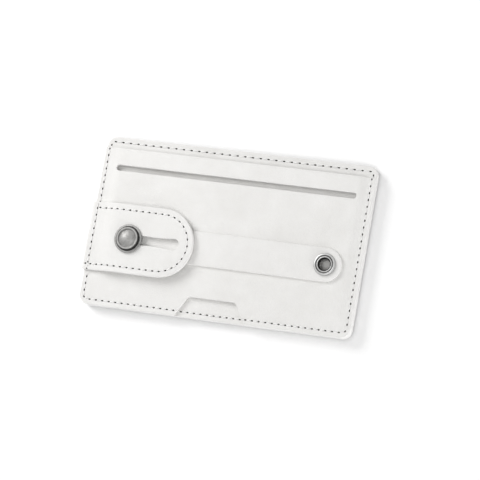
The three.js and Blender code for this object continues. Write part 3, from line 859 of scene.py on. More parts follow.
def slot_cutter(under, over):
    half = Vector((CARD_SLOT_WIDTH, CARD_SLOT_HEIGHT)) / 2
    low = (CARD_SLOT_MIDDLE - half.x, CARD_SLOT_Y - half.y, under)
    high = (CARD_SLOT_MIDDLE + half.x, CARD_SLOT_Y + half.y, over)
    return slab("card slot", low, high, (half.y * CUTTER_ROUND,) * 4)


print("card slot", CARD_SLOT_WIDTH / MM, "x", CARD_SLOT_HEIGHT / MM, "mm")

# %% [markdown]
# ## Back and inner leather
#
# The back leather is a plain sheet. The inner leather lies on it and shows above the pocket's
# mouth, in the slot and in the notch, and carries the top seam. Both have the outline of the
# pocket, so one function cuts them. The lines scored across the inner leather run through its
# needle holes and halfway between them, where the leather has to move most.

# %% Cut and dress the two sheets
RIM = 0.22 * MM
BAND = (-1.2, -0.8, -0.4, 0, 0.4, 0.8, 1.2)
BAND_CLEAR = 1.8 * MM
INNER_CELL = 4 * MM


def halves(places):
    """The places and the points halfway between them."""
    places = sorted(places)
    return places + [(a + b) / 2 for a, b in zip(places, places[1:])]


def every(low, high, step):
    """Even places between low and high, about a step apart, without the two ends."""
    count = max(1, round((high - low) / step))
    return [low + (high - low) * i / count for i in range(1, count)]


def whole_sheet(name, under, over):
    corners = (PLATE_CORNER,) * 4
    return slab(name, (LEFT, BOTTOM, under), (RIGHT, TOP, over), corners)


inner = whole_sheet("inner_leather", INNER_UNDER, FRONT_UNDER)
ease_rims(inner, RIM)
seam_lines = [SEAM_TOP + b * MM for b in BAND] + [SEAM_BOTTOM + b * MM for b in BAND]
score(
    inner,
    xs=halves([point.x for point, _ in top_holes]),
    ys=seam_lines + every(SEAM_BOTTOM + BAND_CLEAR, SEAM_TOP - BAND_CLEAR, INNER_CELL),
)
dress(inner, PLAIN_SKIN)


def in_notch(x, y):
    return y < NOTCH_TOP and abs(x - NOTCH_MIDDLE) < notch_half(y)


notch_holes = [h for h in side_holes if in_notch(*h[0])]
inner_holes = top_holes + corner_holes + notch_holes
inner_finder = hole_finder(inner_holes)


def lay_inner(p):
    if p.z < FRONT_UNDER - RIM:
        return p
    return Vector((p.x, p.y, p.z + dent(inner_finder, p.x, p.y)))


move_points(inner, lay_inner)


def inner_top(x, y):
    return FRONT_UNDER + dent(inner_finder, x, y)


# %% [markdown]
# ## The front leather
#
# It is cut flat from one slab with its slot, notch and eyelet hole, its rims are eased, and lines
# are scored through every needle hole. Faces in a band along the seam are subdivided once more.
# Then every point moves up onto the pocket's rise, with the dents of the seam in it.

# %% Cut the front leather
BARREL_HOLE = 2.15 * MM
SEAM_BAND = 1.3 * MM
RISE_LINES = (0, 0.15, 0.3, 0.4, 0.5, 0.6, 0.7, 0.85, 1)
side_finder = hole_finder(side_holes)
under, over = FRONT_UNDER - CUT_CLEAR, MARGIN_TOP + CUT_CLEAR

front = slab(
    "front_leather",
    (LEFT, BOTTOM, FRONT_UNDER),
    (RIGHT, MOUTH_Y, MARGIN_TOP),
    (PLATE_CORNER, PLATE_CORNER, 0, 0),
)
cut(front, notch_cutter(under, over), slot_cutter(under, over))
cut(front, rod("barrel hole", EYELET.xy, BARREL_HOLE, under, over))
rims = ease_rims(front, RIM)
side_lines = [RISE_START + SIDE_RISE * t for t in RISE_LINES]
low_holes = [p.x for p, _ in side_holes if abs(p.y - SEAM_BOTTOM) < TINY]
left_holes = [p.y for p, _ in side_holes if abs(p.x - SEAM_LEFT) < TINY]
band = [b * MM for b in BAND]
edge_lines = [SEAM_LEFT + b for b in band] + [SEAM_RIGHT - b for b in band]
edge_lines += [SEAM_LEFT + d for d in side_lines] + [SEAM_RIGHT - d for d in side_lines]
low_lines = [SEAM_BOTTOM + b for b in band]
score(front, xs=edge_lines + halves(low_holes), ys=low_lines + halves(left_holes))
print("front leather:", rims, "rim edges,", len(front.data.polygons), "faces when flat")

# %% Shape the front leather


def near_seam(x, y):
    sides = min(abs(x - SEAM_LEFT), abs(x - SEAM_RIGHT))
    return min(sides, abs(y - SEAM_BOTTOM)) < SEAM_BAND


dress(front, FRONT_SKIN)
edit(
    front,
    "FACE",
    lambda f: f.normal.z > 0.9 and near_seam(*f.calc_center_median().xy),
)
bpy.ops.mesh.subdivide(number_cuts=1)
close_edit()


def front_height(x, y):
    loose = sag(x, y, 1) * rise_share(y - SEAM_BOTTOM, LOW_RISE)
    return panel_rise(x, y) + dent(side_finder, x, y) + loose


def lay_front(p):
    lift = panel_rise(p.x, p.y)
    if p.z > FRONT_UNDER + FRONT_GAUGE / 2:
        lift = front_height(p.x, p.y)
    return Vector((p.x, p.y, p.z + lift))


move_points(front, lay_front)


def margin_top(x, y):
    return MARGIN_TOP + front_height(x, y)


elsewhere = notch_holes + corner_holes
front_holes = [h for h in side_holes if h not in elsewhere and not on_tab(*h[0])]
cut(front, needle_punch(front_holes, margin_top))
smooth(front)
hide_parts("front_panel")
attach(front, "holder")
print("front leather:", len(front.data.polygons), "faces,", len(front_holes), "needle holes")

# %% Needle holes of the inner leather
cut(inner, needle_punch(inner_holes, inner_top))
smooth(inner)
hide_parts("inner_panel")
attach(inner, "holder")
print("inner leather:", len(inner.data.polygons), "faces,", len(notch_holes), "holes in the notch")

# %% Back leather
REAR_CELL = 6 * MM

rear = whole_sheet("back_leather", BACK_UNDER, INNER_UNDER)
ease_rims(rear, RIM)
score(rear, xs=every(LEFT, RIGHT, REAR_CELL), ys=every(BOTTOM, TOP, REAR_CELL))
dress(rear, PLAIN_SKIN, PLAIN_SKIN)
cut(rear, needle_punch(side_holes + top_holes, lambda x, y: BACK_UNDER, side=-1))
smooth(rear)
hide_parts("back_panel")
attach(rear, "holder")
print("back leather:", len(rear.data.polygons), "faces")

# %% [markdown]
# ## The tab
#
# The tab is two leathers. Both are cut flat, square at the edge of the pocket and round at the
# free end, with the stud's slot in them. The lining then takes the ramp. The face is longer: it
# is bent round the left edge of the pocket and ends in a short return on the back. Its points are
# moved along that path, at the height that they have in the flat leather.

# %% The slot that the stud slides in
SEAT_RADIUS = 2 * MM
NECK_RADIUS = 1.6 * MM
NECK_STEPS = 12


def stud_slot_cutter(over):
    far = STUD.x + STUD_TRAVEL
    low = (STUD.x - SEAT_RADIUS, FASTENING_Y - SEAT_RADIUS, -over)
    high = (far + SEAT_RADIUS, FASTENING_Y + SEAT_RADIUS, over)
    cutter = slab("stud slot", low, high, (SEAT_RADIUS * CUTTER_ROUND,) * 4)
    score(cutter, xs=[STUD.x + STUD_TRAVEL * i / NECK_STEPS for i in range(NECK_STEPS + 1)])
    pinch = 1 - NECK_RADIUS / SEAT_RADIUS

    def neck(p):
        t = min(max((p.x - STUD.x) / STUD_TRAVEL, 0), 1)
        share = 1 - pinch * 4 * t * (1 - t)
        return Vector((p.x, FASTENING_Y + (p.y - FASTENING_Y) * share, p.z))

    move_points(cutter, neck)
    return cutter


# %% Cut both tab leathers flat
TAB_RIM = 0.16 * MM
TAB_CELL = 0.6 * MM
END_ROUND = 0.998


def flat_tab(name, left, lines):
    low = (left, tab_low.y, 0)
    high = (tab_high.x, tab_high.y, TAB_GAUGE)
    round_end = TAB_RADIUS * END_ROUND
    piece = slab(name, low, high, (0, round_end, round_end, 0))
    cut(piece, stud_slot_cutter(CUT_CLEAR))
    ease_rims(piece, TAB_RIM)
    level = every(LEFT, tab_high.x, TAB_CELL)
    return score(piece, xs=lines + level, ys=every(tab_low.y, tab_high.y, TAB_CELL))


lining = flat_tab("tab_inner_leather", tab_low.x, [])
dress(lining, PLAIN_SKIN, PLAIN_SKIN)
move_points(lining, lambda p: Vector((p.x, p.y, p.z + tab_under(p.x))))
smooth(lining)
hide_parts("tab_lining")
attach(lining, "holder")
print("tab lining:", len(lining.data.polygons), "faces")

# %% The path round the left edge
WRAP_RADIUS = 0.35 * MM
WRAP_RETURN = 3 * MM
WRAP_CELL = 0.8 * MM
BEND_STEPS = 6
WRAP_TOP = MARGIN_TOP + TAB_GAUGE
WRAP_DROP = WRAP_TOP - BACK_UNDER
WRAP_ARC = WRAP_RADIUS * QUARTER
WRAP_LENGTH = 2 * WRAP_ARC + WRAP_DROP - 2 * WRAP_RADIUS + WRAP_RETURN - WRAP_RADIUS


def wrap(x):
    """The inner surface of the face leather and the way out of it, where the flat x bends to."""
    centre_x = LEFT + WRAP_RADIUS
    along = centre_x - x
    if along <= 0:
        return (x, tab_under(x) + TAB_GAUGE), (0, 1)
    straight = WRAP_DROP - 2 * WRAP_RADIUS
    if along <= WRAP_ARC:
        angle, centre_z = along / WRAP_RADIUS, WRAP_TOP - WRAP_RADIUS
    elif along <= WRAP_ARC + straight:
        return (LEFT, WRAP_TOP - WRAP_RADIUS - (along - WRAP_ARC)), (-1, 0)
    elif along <= 2 * WRAP_ARC + straight:
        angle = QUARTER + (along - WRAP_ARC - straight) / WRAP_RADIUS
        centre_z = BACK_UNDER + WRAP_RADIUS
    else:
        return (centre_x + along - 2 * WRAP_ARC - straight, BACK_UNDER), (0, -1)
    out = (-math.sin(angle), math.cos(angle))
    return (centre_x + out[0] * WRAP_RADIUS, centre_z + out[1] * WRAP_RADIUS), out


# %% Bend and sew the tab's face
first_bend = LEFT + WRAP_RADIUS
second_bend = first_bend - WRAP_ARC - (WRAP_DROP - 2 * WRAP_RADIUS)
bend_lines = every(second_bend, first_bend - WRAP_ARC, WRAP_CELL)
for bend in (first_bend, second_bend):
    bend_lines += [bend - WRAP_ARC * i / BEND_STEPS for i in range(BEND_STEPS + 1)]
face = flat_tab("tab_face_leather", LEFT + WRAP_RADIUS - WRAP_LENGTH, bend_lines)
dress(face, TAB_SKIN)
tab_side_holes = [h for h in side_holes if on_tab(*h[0])]
tab_finder = hole_finder(tab_holes + tab_side_holes)


def lay_face(p):
    (x, z), out = wrap(p.x)
    height = p.z
    if p.z > TAB_GAUGE / 2 and p.x > LEFT:
        height += dent(tab_finder, p.x, p.y)
    return Vector((x + out[0] * height, p.y, z + out[1] * height))


move_points(face, lay_face)


def tab_top(x, y):
    return tab_under(x) + 2 * TAB_GAUGE + dent(tab_finder, x, y)


cut(face, needle_punch(tab_holes + tab_side_holes, tab_top))
smooth(face)
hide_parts("tab_face")
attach(face, "holder")
print("tab face:", len(face.data.polygons), "faces,", len(tab_holes), "seam holes")

# %% [markdown]
# ## The strap
#
# One band with round ends, cut flat, with a hole for each fastening and a hollow under its left
# end for the stud's foot. It crosses from the holder to the stud, and it is scored along its length
# and across.

# %% Cut the strap
STRAP_RIM = 0.24 * MM
POST_HOLE = 1.5 * MM
FOOT_HOLLOW = 3.6 * MM
FOOT_ROOM = 0.45 * MM
STRAP_CELL = 1.5 * MM
CROWN_DROP = 0.12 * MM
CROWN_SAG = 0.3

strap_radius = (strap_high.y - strap_low.y) / 2
strap = slab("strap_leather", strap_low, strap_high, (strap_radius * END_ROUND,) * 4)
below, above = strap_low.z - CUT_CLEAR, strap_high.z + CUT_CLEAR
cut(
    strap,
    rod("eyelet hole", EYELET.xy, BARREL_HOLE, below, above),
    rod("post hole", STUD.xy, POST_HOLE, below, above),
    rod("foot hollow", STUD.xy, FOOT_HOLLOW, below, strap_low.z + FOOT_ROOM),
)
ease_rims(strap, STRAP_RIM)
score(
    strap,
    xs=every(strap_low.x, strap_high.x, STRAP_CELL),
    ys=every(strap_low.y, strap_high.y, STRAP_CELL),
)
dress(strap, TAB_SKIN)


def crown(p):
    """The band is a little thinner at its long edges, where it was pressed."""
    if p.z < (strap_low.z + strap_high.z) / 2:
        return p
    share = (p.y - FASTENING_Y) / strap_radius
    return Vector((p.x, p.y, p.z - CROWN_DROP * share**4 + CROWN_SAG * sag(p.x, p.y, 2)))


move_points(strap, crown)
smooth(strap)
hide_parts("strap")
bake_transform(strap)
print("strap:", len(strap.data.polygons), "faces")

# %% [markdown]
# ## The stitches
#
# Between two needle holes the thread lies on the leather as a short plump sausage whose ends dive
# into the holes. One stitch is modelled from a thin cylinder and copied along each seam. It has a
# few dozen faces, because there are some hundreds, and the twist of the thread is in its material.

# %% Thread material
TWIST_TURNS = 3.2
TWIST_LEAN = 5.0


def thread_material():
    """Two waves on the stitch's own map: the plies wind round it, with fibres along them."""
    material, tree, shader, place = new_material("Sewing thread")
    own = put(tree, "ShaderNodeUVMap").outputs["UV"]
    apart = put(tree, "ShaderNodeSeparateXYZ", {0: own})
    round_it = math_node(tree, "MULTIPLY", apart.outputs[0], TWIST_TURNS)
    winding = math_node(tree, "MULTIPLY_ADD", apart.outputs[1], 2 * TWIST_LEAN, round_it)
    ply = math_node(tree, "SINE", math_node(tree, "MULTIPLY", winding, 2 * math.pi))
    fibre = put(tree, "ShaderNodeTexNoise", {"Vector": place, "Scale": 9000.0, "Detail": 3.0})
    share = spread(tree, ply, -1.0, 1.0, 0.0, 1.0)
    # Darker between the plies, where the relief is low: painted shade.
    colour = blend_colours(tree, share, (0.76, 0.752, 0.738), (0.88, 0.872, 0.86))
    gloss = spread(tree, fibre.outputs["Fac"], 0.2, 0.8, 0.55, 0.8)
    shader.inputs["Sheen Weight"].default_value = 0.2
    coat(tree, shader, colour, gloss, ply, 0.015 * MM)
    return material


THREAD = thread_material()

# %% One stitch
THREAD_WIDE = 0.27 * MM
THREAD_HIGH = 0.17 * MM
STITCH_STEPS = 10
STITCH_LIFT = 0.05 * MM
STITCH_DIVE = 0.6 * MM
STITCH_START = 0.13


def one_stitch():
    """A stitch between two holes at 0 and 1 on the X axis, with the leather at height 0."""
    bpy.ops.object.select_all(action="DESELECT")
    bpy.ops.mesh.primitive_cylinder_add(
        vertices=8, radius=1, depth=1, location=(0.5, 0, 0), rotation=(0, QUARTER, 0)
    )
    model = bpy.context.object
    bpy.ops.object.transform_apply(location=True, rotation=True, scale=True)
    edit(model, "EDGE", lambda e: abs(e.verts[0].co.x - e.verts[1].co.x) > 0.5)
    bpy.ops.mesh.subdivide(number_cuts=STITCH_STEPS - 1)
    close_edit()

    def bend(p):
        end = 2 * p.x - 1
        spaced = math.copysign(abs(end) ** 0.7, end)
        plump = 1 - 0.25 * abs(spaced) ** 3
        lift = STITCH_LIFT * (1 - spaced**2) - STITCH_DIVE * abs(spaced) ** 9
        along = 0.5 + spaced * (0.5 - STITCH_START)
        return Vector((along, p.y * THREAD_WIDE * plump, p.z * THREAD_HIGH * plump + lift))

    move_points(model, bend)
    model.data.materials.append(THREAD)
    return model


# %% [markdown]
# A stitch that crosses the edge of a leather has to climb it. So the stitches are first laid out
# flat along the seam, and then every point of the thread is lifted by the height of the leather
# under it, eased over a short way along the seam.

# %% Sew a seam
EDGE_EASE = 0.22 * MM


def flat_place(start, end, side):
    """Takes the model stitch to lie from start to end in plan, upside down under a leather."""
    way = end - start
    angle = math.atan2(way.y, way.x)
    turn = Matrix.Rotation(angle, 4, "Z")
    flip = Matrix.Rotation(math.pi if side < 0 else 0, 4, "X")
    stretch = Matrix.Diagonal((way.length, 1, 1, 1))
    return Matrix.Translation((start.x, start.y, 0)) @ turn @ flip @ stretch


def sew(name, node, holes, height, side=1):
    """A seam of stitches that stands for a thread node, on the surface height(x, y)."""
    pairs = list(zip(holes, holes[1:]))
    seam = copies(one_stitch(), name, [flat_place(a[0], b[0], side) for a, b in pairs])

    def settle(p):
        near = [height(p.x, p.y + d * EDGE_EASE) for d in (-1, -0.5, 0, 0.5, 1)]
        return Vector((p.x, p.y, p.z + sum(near) / len(near)))

    move_points(seam, settle)
    smooth(seam, 60)
    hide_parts(node)
    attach(seam, "holder")
    print(name, len(pairs), "stitches")


def side_top(x, y):
    if on_tab(x, y):
        return tab_top(x, y)
    inner_shows = in_notch(x, y) or y > MOUTH_Y
    return inner_top(x, y) if inner_shows else margin_top(x, y)


def side_under(x, y):
    return BACK_UNDER - TAB_GAUGE if on_tab(x, y) else BACK_UNDER


sew("side_stitches", "side_seam_thread", side_holes, side_top)
sew("top_stitches", "top_seam_thread", top_holes, inner_top)
sew("tab_stitches", "tab_seam_thread", tab_holes, tab_top)
sew("side_stitches_back", "side_seam_bobbin", side_holes, side_under, -1)
sew("top_stitches_back", "top_seam_bobbin", top_holes, lambda x, y: BACK_UNDER, -1)
under_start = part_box("tab_seam_bobbin")[0].x
under_holes = tab_route(under_start).holes(SIDE_STITCH)
sew("tab_stitches_under", "tab_seam_bobbin", under_holes, lambda x, y: tab_under(x), -1)

# %% [markdown]
# ## Turned metal
#
# Stud and eyelet are turned. One vertex is extruded along the half section and spun round its
# axis, as the bar turns in a lathe. Corners of the section are rounded by short arcs, because no
# metal edge is sharp, and the doubles that the spin leaves on its seam are merged.

# %% Round a section, then spin it
SPIN_STEPS = 72


def rounded(section, radius, steps=4):
    """An open section of points whose inner corners are cut back and arced."""
    points = [Vector(p) for p in section]
    result = [points[0]]
    for a, b, c in zip(points, points[1:], points[2:]):
        reach = min(radius, (a - b).length * 0.45, (c - b).length * 0.45)
        start, end = b + (a - b).normalized() * reach, b + (c - b).normalized() * reach
        for i in range(steps + 1):
            t = i / steps
            result.append(start * (1 - t) ** 2 + b * 2 * t * (1 - t) + end * t**2)
    return result + [points[-1]]


def turned(name, centre, section, closed=False):
    """A turned piece from (radius, height) points, round a vertical axis through centre."""
    points = [Vector((centre[0] + r, centre[1], z)) for r, z in section]
    bpy.ops.object.select_all(action="DESELECT")
    bpy.ops.mesh.primitive_plane_add(size=1 * MM, location=points[0])
    piece = bpy.context.object
    piece.name = piece.data.name = name
    bpy.ops.object.transform_apply(location=True, rotation=True, scale=True)
    bpy.ops.object.mode_set(mode="EDIT")
    bpy.ops.mesh.select_mode(type="VERT")
    bpy.ops.mesh.select_all(action="SELECT")
    bpy.ops.mesh.merge(type="CENTER")
    steps = [b - a for a, b in zip(points, points[1:] + points[:1] * closed)]
    for step in steps:
        bpy.ops.mesh.extrude_region_move(TRANSFORM_OT_translate={"value": step})
    bpy.ops.mesh.select_all(action="SELECT")
    middle = (centre[0], centre[1], 0)
    bpy.ops.mesh.spin(steps=SPIN_STEPS, angle=2 * math.pi, center=middle, axis=(0, 0, 1))
    bpy.ops.mesh.select_all(action="SELECT")
    bpy.ops.mesh.remove_doubles(threshold=TINY)
    bpy.ops.mesh.normals_make_consistent(inside=False)
    close_edit()
    return smooth(piece, 50)


# %% [markdown]
# Both metals are plated: the stud is dull, the eyelet bright. A dark ring is painted in grooves
# and under shoulders: painted shade, and in the eyelet's funnel a painted dark reflection. That
# ring is a mask by the distance from the axis, in a node group, and it darkens the colour and
# takes the shine away.

# %% Metal material
# The colour of the rings of painted shade.
RING_SHADE_TONE = (0.022, 0.021, 0.02)


def turned_metal(name, centre, light, dark, rough, rings, ring_depth, shade_rings):
    """Plated metal with lathe rings, faint smears, and rings of painted shade at (radius, half
    width, depth).
    """
    material, tree, shader, place = new_material(name)
    about = put(tree, "ShaderNodeMapping", {"Vector": place, "Location": (-centre.x, -centre.y, 0)})
    own = about.outputs["Vector"]
    lathe = use_group(tree, RINGS, Place=own, Rings_per_metre=rings)
    smear = use_group(tree, CLOUD, Place=own, Patches_per_metre=900.0, Amount=1.8)
    colour = blend_colours(tree, smear["Cloud"], light, dark)
    painted_ring_shade = None
    for radius, half_width, depth in shade_rings:
        ring = use_group(tree, RING_SHADE, Place=own, Radius=radius, Half_width=half_width)
        part = math_node(tree, "MULTIPLY", ring["Mask"], depth)
        painted_ring_shade = part if painted_ring_shade is None else math_node(tree, "MAXIMUM", painted_ring_shade, part)
    # Darkened in the rings: painted shade.
    colour = blend_colours(tree, painted_ring_shade, colour, RING_SHADE_TONE)
    shader.inputs["Metallic"].default_value = 1.0
    both = math_node(tree, "MULTIPLY", smear["Cloud"], lathe["Streak"])
    gloss = spread(tree, both, 0.1, 0.5, rough - 0.08, rough + 0.12)
    dulled = math_node(tree, "MULTIPLY_ADD", painted_ring_shade, 0.35, gloss)
    coat(tree, shader, colour, dulled, lathe["Height"], ring_depth)
    return material


# Painted shade on the button's outer edge and in its groove.
STUD_SHADE_RINGS = [(4.1 * MM, 0.4 * MM, 0.8), (2.95 * MM, 0.4 * MM, 0.2)]
DULL = turned_metal(
    name="Dull stud metal",
    centre=STUD,
    light=(0.33, 0.327, 0.32),
    dark=(0.23, 0.227, 0.22),
    rough=0.56,
    rings=5200.0,
    ring_depth=0.004 * MM,
    shade_rings=STUD_SHADE_RINGS,
)
# Painted shade and painted dark reflection in the eyelet's funnel, and painted shade in the groove
# on its roll.
EYELET_SHADE_RINGS = [(2.12 * MM, 0.42 * MM, 1.0), (2.95 * MM, 0.36 * MM, 0.85)]
BRIGHT = turned_metal(
    name="Bright eyelet metal",
    centre=EYELET,
    light=(0.54, 0.54, 0.535),
    dark=(0.38, 0.38, 0.375),
    rough=0.38,
    rings=7000.0,
    ring_depth=0.002 * MM,
    shade_rings=EYELET_SHADE_RINGS,
)

# %% The stud's button
CAP_RADIUS = 4.1 * MM
CAP_RIM = 0.85 * MM
CAP_RIM_HEIGHT = 0.94 * MM
CAP_GROOVE = 0.6 * MM
CAP_HEIGHT = 1.3 * MM
DOME_RADIUS = 2.75 * MM
DOME_STEPS = 10
CAP_SOFT = 0.22 * MM
CAP_LEAN = 0.1 * MM
cap_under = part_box("stud_cap")[0].z


def cap_section():
    """From the axis below, round the rim, down into the groove and up over the dome."""
    inside = CAP_RADIUS - CAP_RIM
    edge = [(0, 0), (CAP_RADIUS - CAP_LEAN, 0), (CAP_RADIUS, CAP_RIM_HEIGHT / 2)]
    edge += [(CAP_RADIUS - 0.06 * MM, CAP_RIM_HEIGHT), (inside, CAP_RIM_HEIGHT)]
    edge += [(inside - 0.14 * MM, CAP_GROOVE), (DOME_RADIUS, CAP_GROOVE)]
    points = [tuple(p) for p in rounded(edge, CAP_SOFT)]
    rise = CAP_HEIGHT - CAP_GROOVE
    sphere = (DOME_RADIUS**2 + rise**2) / (2 * rise)
    for i in range(1, DOME_STEPS + 1):
        radius = DOME_RADIUS * (1 - i / DOME_STEPS)
        points.append((radius, CAP_HEIGHT - sphere + math.sqrt(sphere**2 - radius**2)))
    return [(r, cap_under + z) for r, z in points]


button = turned("stud_button", STUD, cap_section())
button.data.materials.append(DULL)
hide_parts("stud_cap")
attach(button, "stud")

# %% [markdown]
# The ring under the button is a thin washer with a soft rim. Post and foot are hidden under the
# strap, and only show from the side, so a plain turned section does.

# %% The stud's ring and post


def closed_ring(inner_radius, outer_radius, low, high, soft):
    """A ring's section, started in the middle of its bore so that its corners can be rounded."""
    middle = (low + high) / 2
    corners = [
        (inner_radius, middle),
        (inner_radius, low),
        (outer_radius, low),
        (outer_radius, high),
        (inner_radius, high),
        (inner_radius, middle),
    ]
    return [tuple(p) for p in rounded(corners, soft)][:-1]


collar_low, collar_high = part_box("stud_collar")
collar_radius = (collar_high.x - collar_low.x) / 2
section = closed_ring(POST_HOLE, collar_radius, collar_low.z, collar_high.z, 0.14 * MM)
collar = turned("stud_ring", STUD, section, closed=True)
collar.data.materials.append(DULL)
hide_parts("stud_collar")
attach(collar, "stud")

base_low, base_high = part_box("stud_base")
foot_radius = (base_high.x - base_low.x) / 2
FOOT_GAUGE = 0.4 * MM
POST_RADIUS = 1.4 * MM
post_corners = [
    (0, base_low.z),
    (foot_radius, base_low.z),
    (foot_radius, base_low.z + FOOT_GAUGE),
    (POST_RADIUS, base_low.z + FOOT_GAUGE),
    (POST_RADIUS, base_high.z),
    (0, base_high.z),
]
post = turned("stud_post", STUD, [tuple(p) for p in rounded(post_corners, 0.1 * MM)])
post.data.materials.append(DULL)
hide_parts("stud_base")
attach(post, "stud")
print("ring radius", round(collar_radius / MM, 2), "mm, foot radius", round(foot_radius / MM, 2))

# %% [markdown]
# The eyelet is one thin tube that is flared over the strap, where it rolls into a bright ring with
# a funnel, and rolled again under the front leather, over its washer.

# %% The eyelet and its washer
BORE = 1.75 * MM
BARREL = 2.05 * MM
MOUTH = 2.3 * MM
eyelet_low, eyelet_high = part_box("eyelet")
eyelet_rim = (eyelet_high.x - eyelet_low.x) / 2
washer_low, washer_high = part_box("eyelet_washer")
washer_radius = (washer_high.x - washer_low.x) / 2
ROLL_RADIUS = 3.1 * MM
seat = strap_high.z
crest = eyelet_high.z
tube_corners = [
    (BORE, (seat + eyelet_low.z) / 2),
    (BORE, eyelet_low.z),
    (ROLL_RADIUS, eyelet_low.z),
    (ROLL_RADIUS, washer_low.z),
    (BARREL, washer_low.z),
    (BARREL, seat),
    (eyelet_rim, seat),
    (eyelet_rim, seat + 0.4 * MM),
    (eyelet_rim - 0.35 * MM, crest),
    (eyelet_rim - 0.75 * MM, crest),
    (2.95 * MM, crest - 0.2 * MM),
    (2.6 * MM, crest - 0.02 * MM),
    (MOUTH, crest - 0.06 * MM),
    (BORE + 0.1 * MM, seat),
    (BORE, seat - 0.6 * MM),
    (BORE, (seat + eyelet_low.z) / 2),
]
section = [tuple(p) for p in rounded(tube_corners, 0.25 * MM)][:-1]
eyelet = turned("eyelet_tube", EYELET, section, closed=True)
eyelet.data.materials.append(BRIGHT)
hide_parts("eyelet")
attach(eyelet, "holder")

section = closed_ring(BARREL_HOLE, washer_radius, washer_low.z, washer_high.z, 0.08 * MM)
washer = turned("eyelet_ring", EYELET, section, closed=True)
washer.data.materials.append(BRIGHT)
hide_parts("eyelet_washer")
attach(washer, "holder")
print("eyelet", round(2 * eyelet_rim / MM, 2), "mm across")

# %% [markdown]
# ## The stick on back
#
# A foam tape pad, die cut with round corners, and the coated paper that covers its glue until it is
# used. The pad's cut sides show the open cells of the foam. The paper is a hair wider all round.

# %% Foam and paper materials


def foam_material():
    material, tree, shader, place = new_material("Foam tape")
    cells = put(tree, "ShaderNodeTexVoronoi", {"Vector": place, "Scale": 3600.0})
    pore = spread(tree, cells.outputs["Distance"], 0.05, 0.6, 0.0, 1.0)
    # Darker in the open cells, where the relief is low: painted shade.
    colour = blend_colours(tree, pore, (0.55, 0.55, 0.54), (0.8, 0.8, 0.79))
    gloss = spread(tree, pore, 0.0, 1.0, 0.95, 0.8)
    coat(tree, shader, colour, gloss, pore, 0.08 * MM)
    return material


def paper_material():
    material, tree, shader, place = new_material("Coated paper")
    cloud = use_group(tree, CLOUD, Place=place, Patches_per_metre=60.0, Amount=1.4)
    fibre = put(tree, "ShaderNodeTexNoise", {"Vector": place, "Scale": 2400.0, "Detail": 6.0})
    share = math_node(tree, "MULTIPLY", cloud["Cloud"], fibre.outputs["Fac"])
    colour = blend_colours(tree, share, (0.86, 0.82, 0.7), (0.76, 0.71, 0.58))
    gloss = spread(tree, fibre.outputs["Fac"], 0.3, 0.7, 0.32, 0.46)
    coat(tree, shader, colour, gloss, fibre.outputs["Fac"], 0.01 * MM)
    return material


FOAM = foam_material()
PAPER = paper_material()

# %% Pad and paper
PAD_CORNER = 2.5 * MM
PAD_CELL = 5 * MM


def backing_layer(name, node, material, rim):
    low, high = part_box(node)
    layer = slab(name, low, high, (PAD_CORNER,) * 4)
    ease_rims(layer, rim, 2)
    score(layer, xs=every(low.x, high.x, PAD_CELL), ys=every(low.y, high.y, PAD_CELL))
    layer.data.materials.append(material)
    smooth(layer)
    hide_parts(node)
    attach(layer, "holder")
    return layer


pad = backing_layer("foam_pad", "adhesive_pad", FOAM, 0.12 * MM)
paper = backing_layer("peel_paper", "release_liner", PAPER, 0.03 * MM)

# %% [markdown]
# ## Floor, light and view
#
# The holder lies on a white table under a broad soft light from its upper left, with a pale room
# all round. The floor is nearly white and takes the shadow. For the camera a little light of its
# own lifts it to the white of the page, and far from the holder it is plain white.

# %% Floor
FLOOR_DROP = 0.02 * MM
FLOOR_LIFT = 0.12
NEAR_FLOOR = 0.14
FAR_FLOOR = 0.4
FLOOR_SIZE = 6


def seen_share(tree):
    """1 for what the camera sees, itself or in metal or glass, and 0 for light on surfaces."""
    path = put(tree, "ShaderNodeLightPath").outputs
    shiny = math_node(tree, "MAXIMUM", path["Is Glossy Ray"], path["Is Transmission Ray"])
    return math_node(tree, "MAXIMUM", path["Is Camera Ray"], shiny)


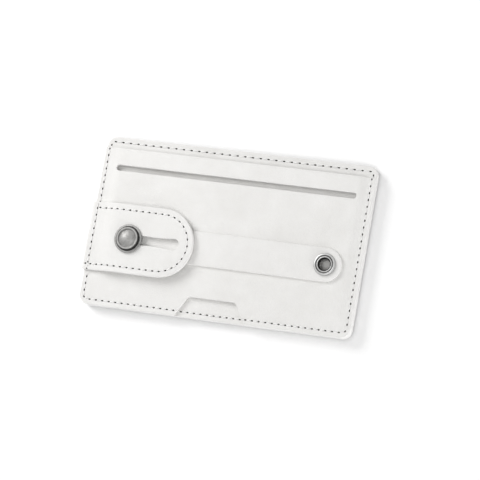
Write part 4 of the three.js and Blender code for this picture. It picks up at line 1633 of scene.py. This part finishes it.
def floor_material():
    material, tree, shader, place = new_material("White table")
    shader.inputs["Base Color"].default_value = (0.93, 0.93, 0.93, 1)
    shader.inputs["Roughness"].default_value = 0.9
    shader.inputs["Specular IOR Level"].default_value = 0.0
    seen = seen_share(tree)
    glow = math_node(tree, "MULTIPLY", seen, FLOOR_LIFT)
    lift = put(tree, "ShaderNodeEmission", {"Strength": glow})
    lit = put(tree, "ShaderNodeAddShader", {0: shader.outputs[0], 1: lift.outputs[0]})
    page = put(tree, "ShaderNodeEmission", {"Strength": seen})
    fade = spread(tree, length_of(tree, place), NEAR_FLOOR, FAR_FLOOR, 0.0, 1.0)
    far = math_node(tree, "MULTIPLY", fade, seen)
    mixed = put(tree, "ShaderNodeMixShader", {0: far, 1: lit.outputs[0], 2: page.outputs[0]})
    tree.links.new(mixed.outputs[0], tree.nodes["Material Output"].inputs["Surface"])
    return material


bpy.ops.object.select_all(action="DESELECT")
bpy.ops.mesh.primitive_plane_add(size=FLOOR_SIZE, location=(0, 0, -FLOOR_DROP))
floor = bpy.context.object
floor.name = "floor"
floor.data.materials.append(floor_material())

# %% [markdown]
# The main lamp stands to the upper left and near, so that the left end is brighter than the right
# one. A front lamp, high over the lower edge, opens the shadows in slots and under edges, and a low
# one from the lower right lights the walls that face the camera. The low lamp is kept out of
# reflections, because seen at a flat angle the leather would mirror it and bleach. All three are
# large, because a large lamp has soft shadows. A lamp's power follows from the share of light that
# it should give to a level surface at its distance.

# %% Room and lamps
ROOM_LEVEL = 0.46


def light_room():
    world = bpy.data.worlds.new("room")
    world.use_nodes = True
    bpy.context.scene.world = world
    tree = world.node_tree
    seen = seen_share(tree)
    level = spread(tree, seen, 0.0, 1.0, ROOM_LEVEL, 1.0)
    sky = tree.nodes["Background"]
    sky.inputs["Color"].default_value = (1, 1, 1, 1)
    tree.links.new(level, sky.inputs["Strength"])


def add_lamp(name, turn, rise, distance, size, share):
    """A round lamp that gives a level surface at the origin that share of full light."""
    turn, rise = math.radians(turn), math.radians(rise)
    lamp = bpy.data.lights.new(name, "AREA")
    lamp.shape = "DISK"
    lamp.size = size
    lamp.energy = share * (math.pi * distance) ** 2 / math.sin(rise)
    stand = bpy.data.objects.new(name, lamp)
    bpy.context.scene.collection.objects.link(stand)
    flat = math.cos(rise)
    way = Vector((math.cos(turn) * flat, math.sin(turn) * flat, math.sin(rise)))
    stand.location = way * distance
    stand.rotation_euler = way.to_track_quat("Z", "Y").to_euler()
    print(name, "of", round(lamp.energy, 2), "W")
    return stand


light_room()
add_lamp("main lamp", turn=148, rise=37, distance=0.44, size=0.26, share=0.4)
add_lamp("front lamp", turn=-65, rise=64, distance=0.6, size=0.2, share=0.15)
low_lamp = add_lamp("low lamp", turn=-35, rise=9, distance=0.6, size=0.4, share=0.085)
low_lamp.visible_glossy = False
bpy.context.scene.view_settings.view_transform = "Standard"
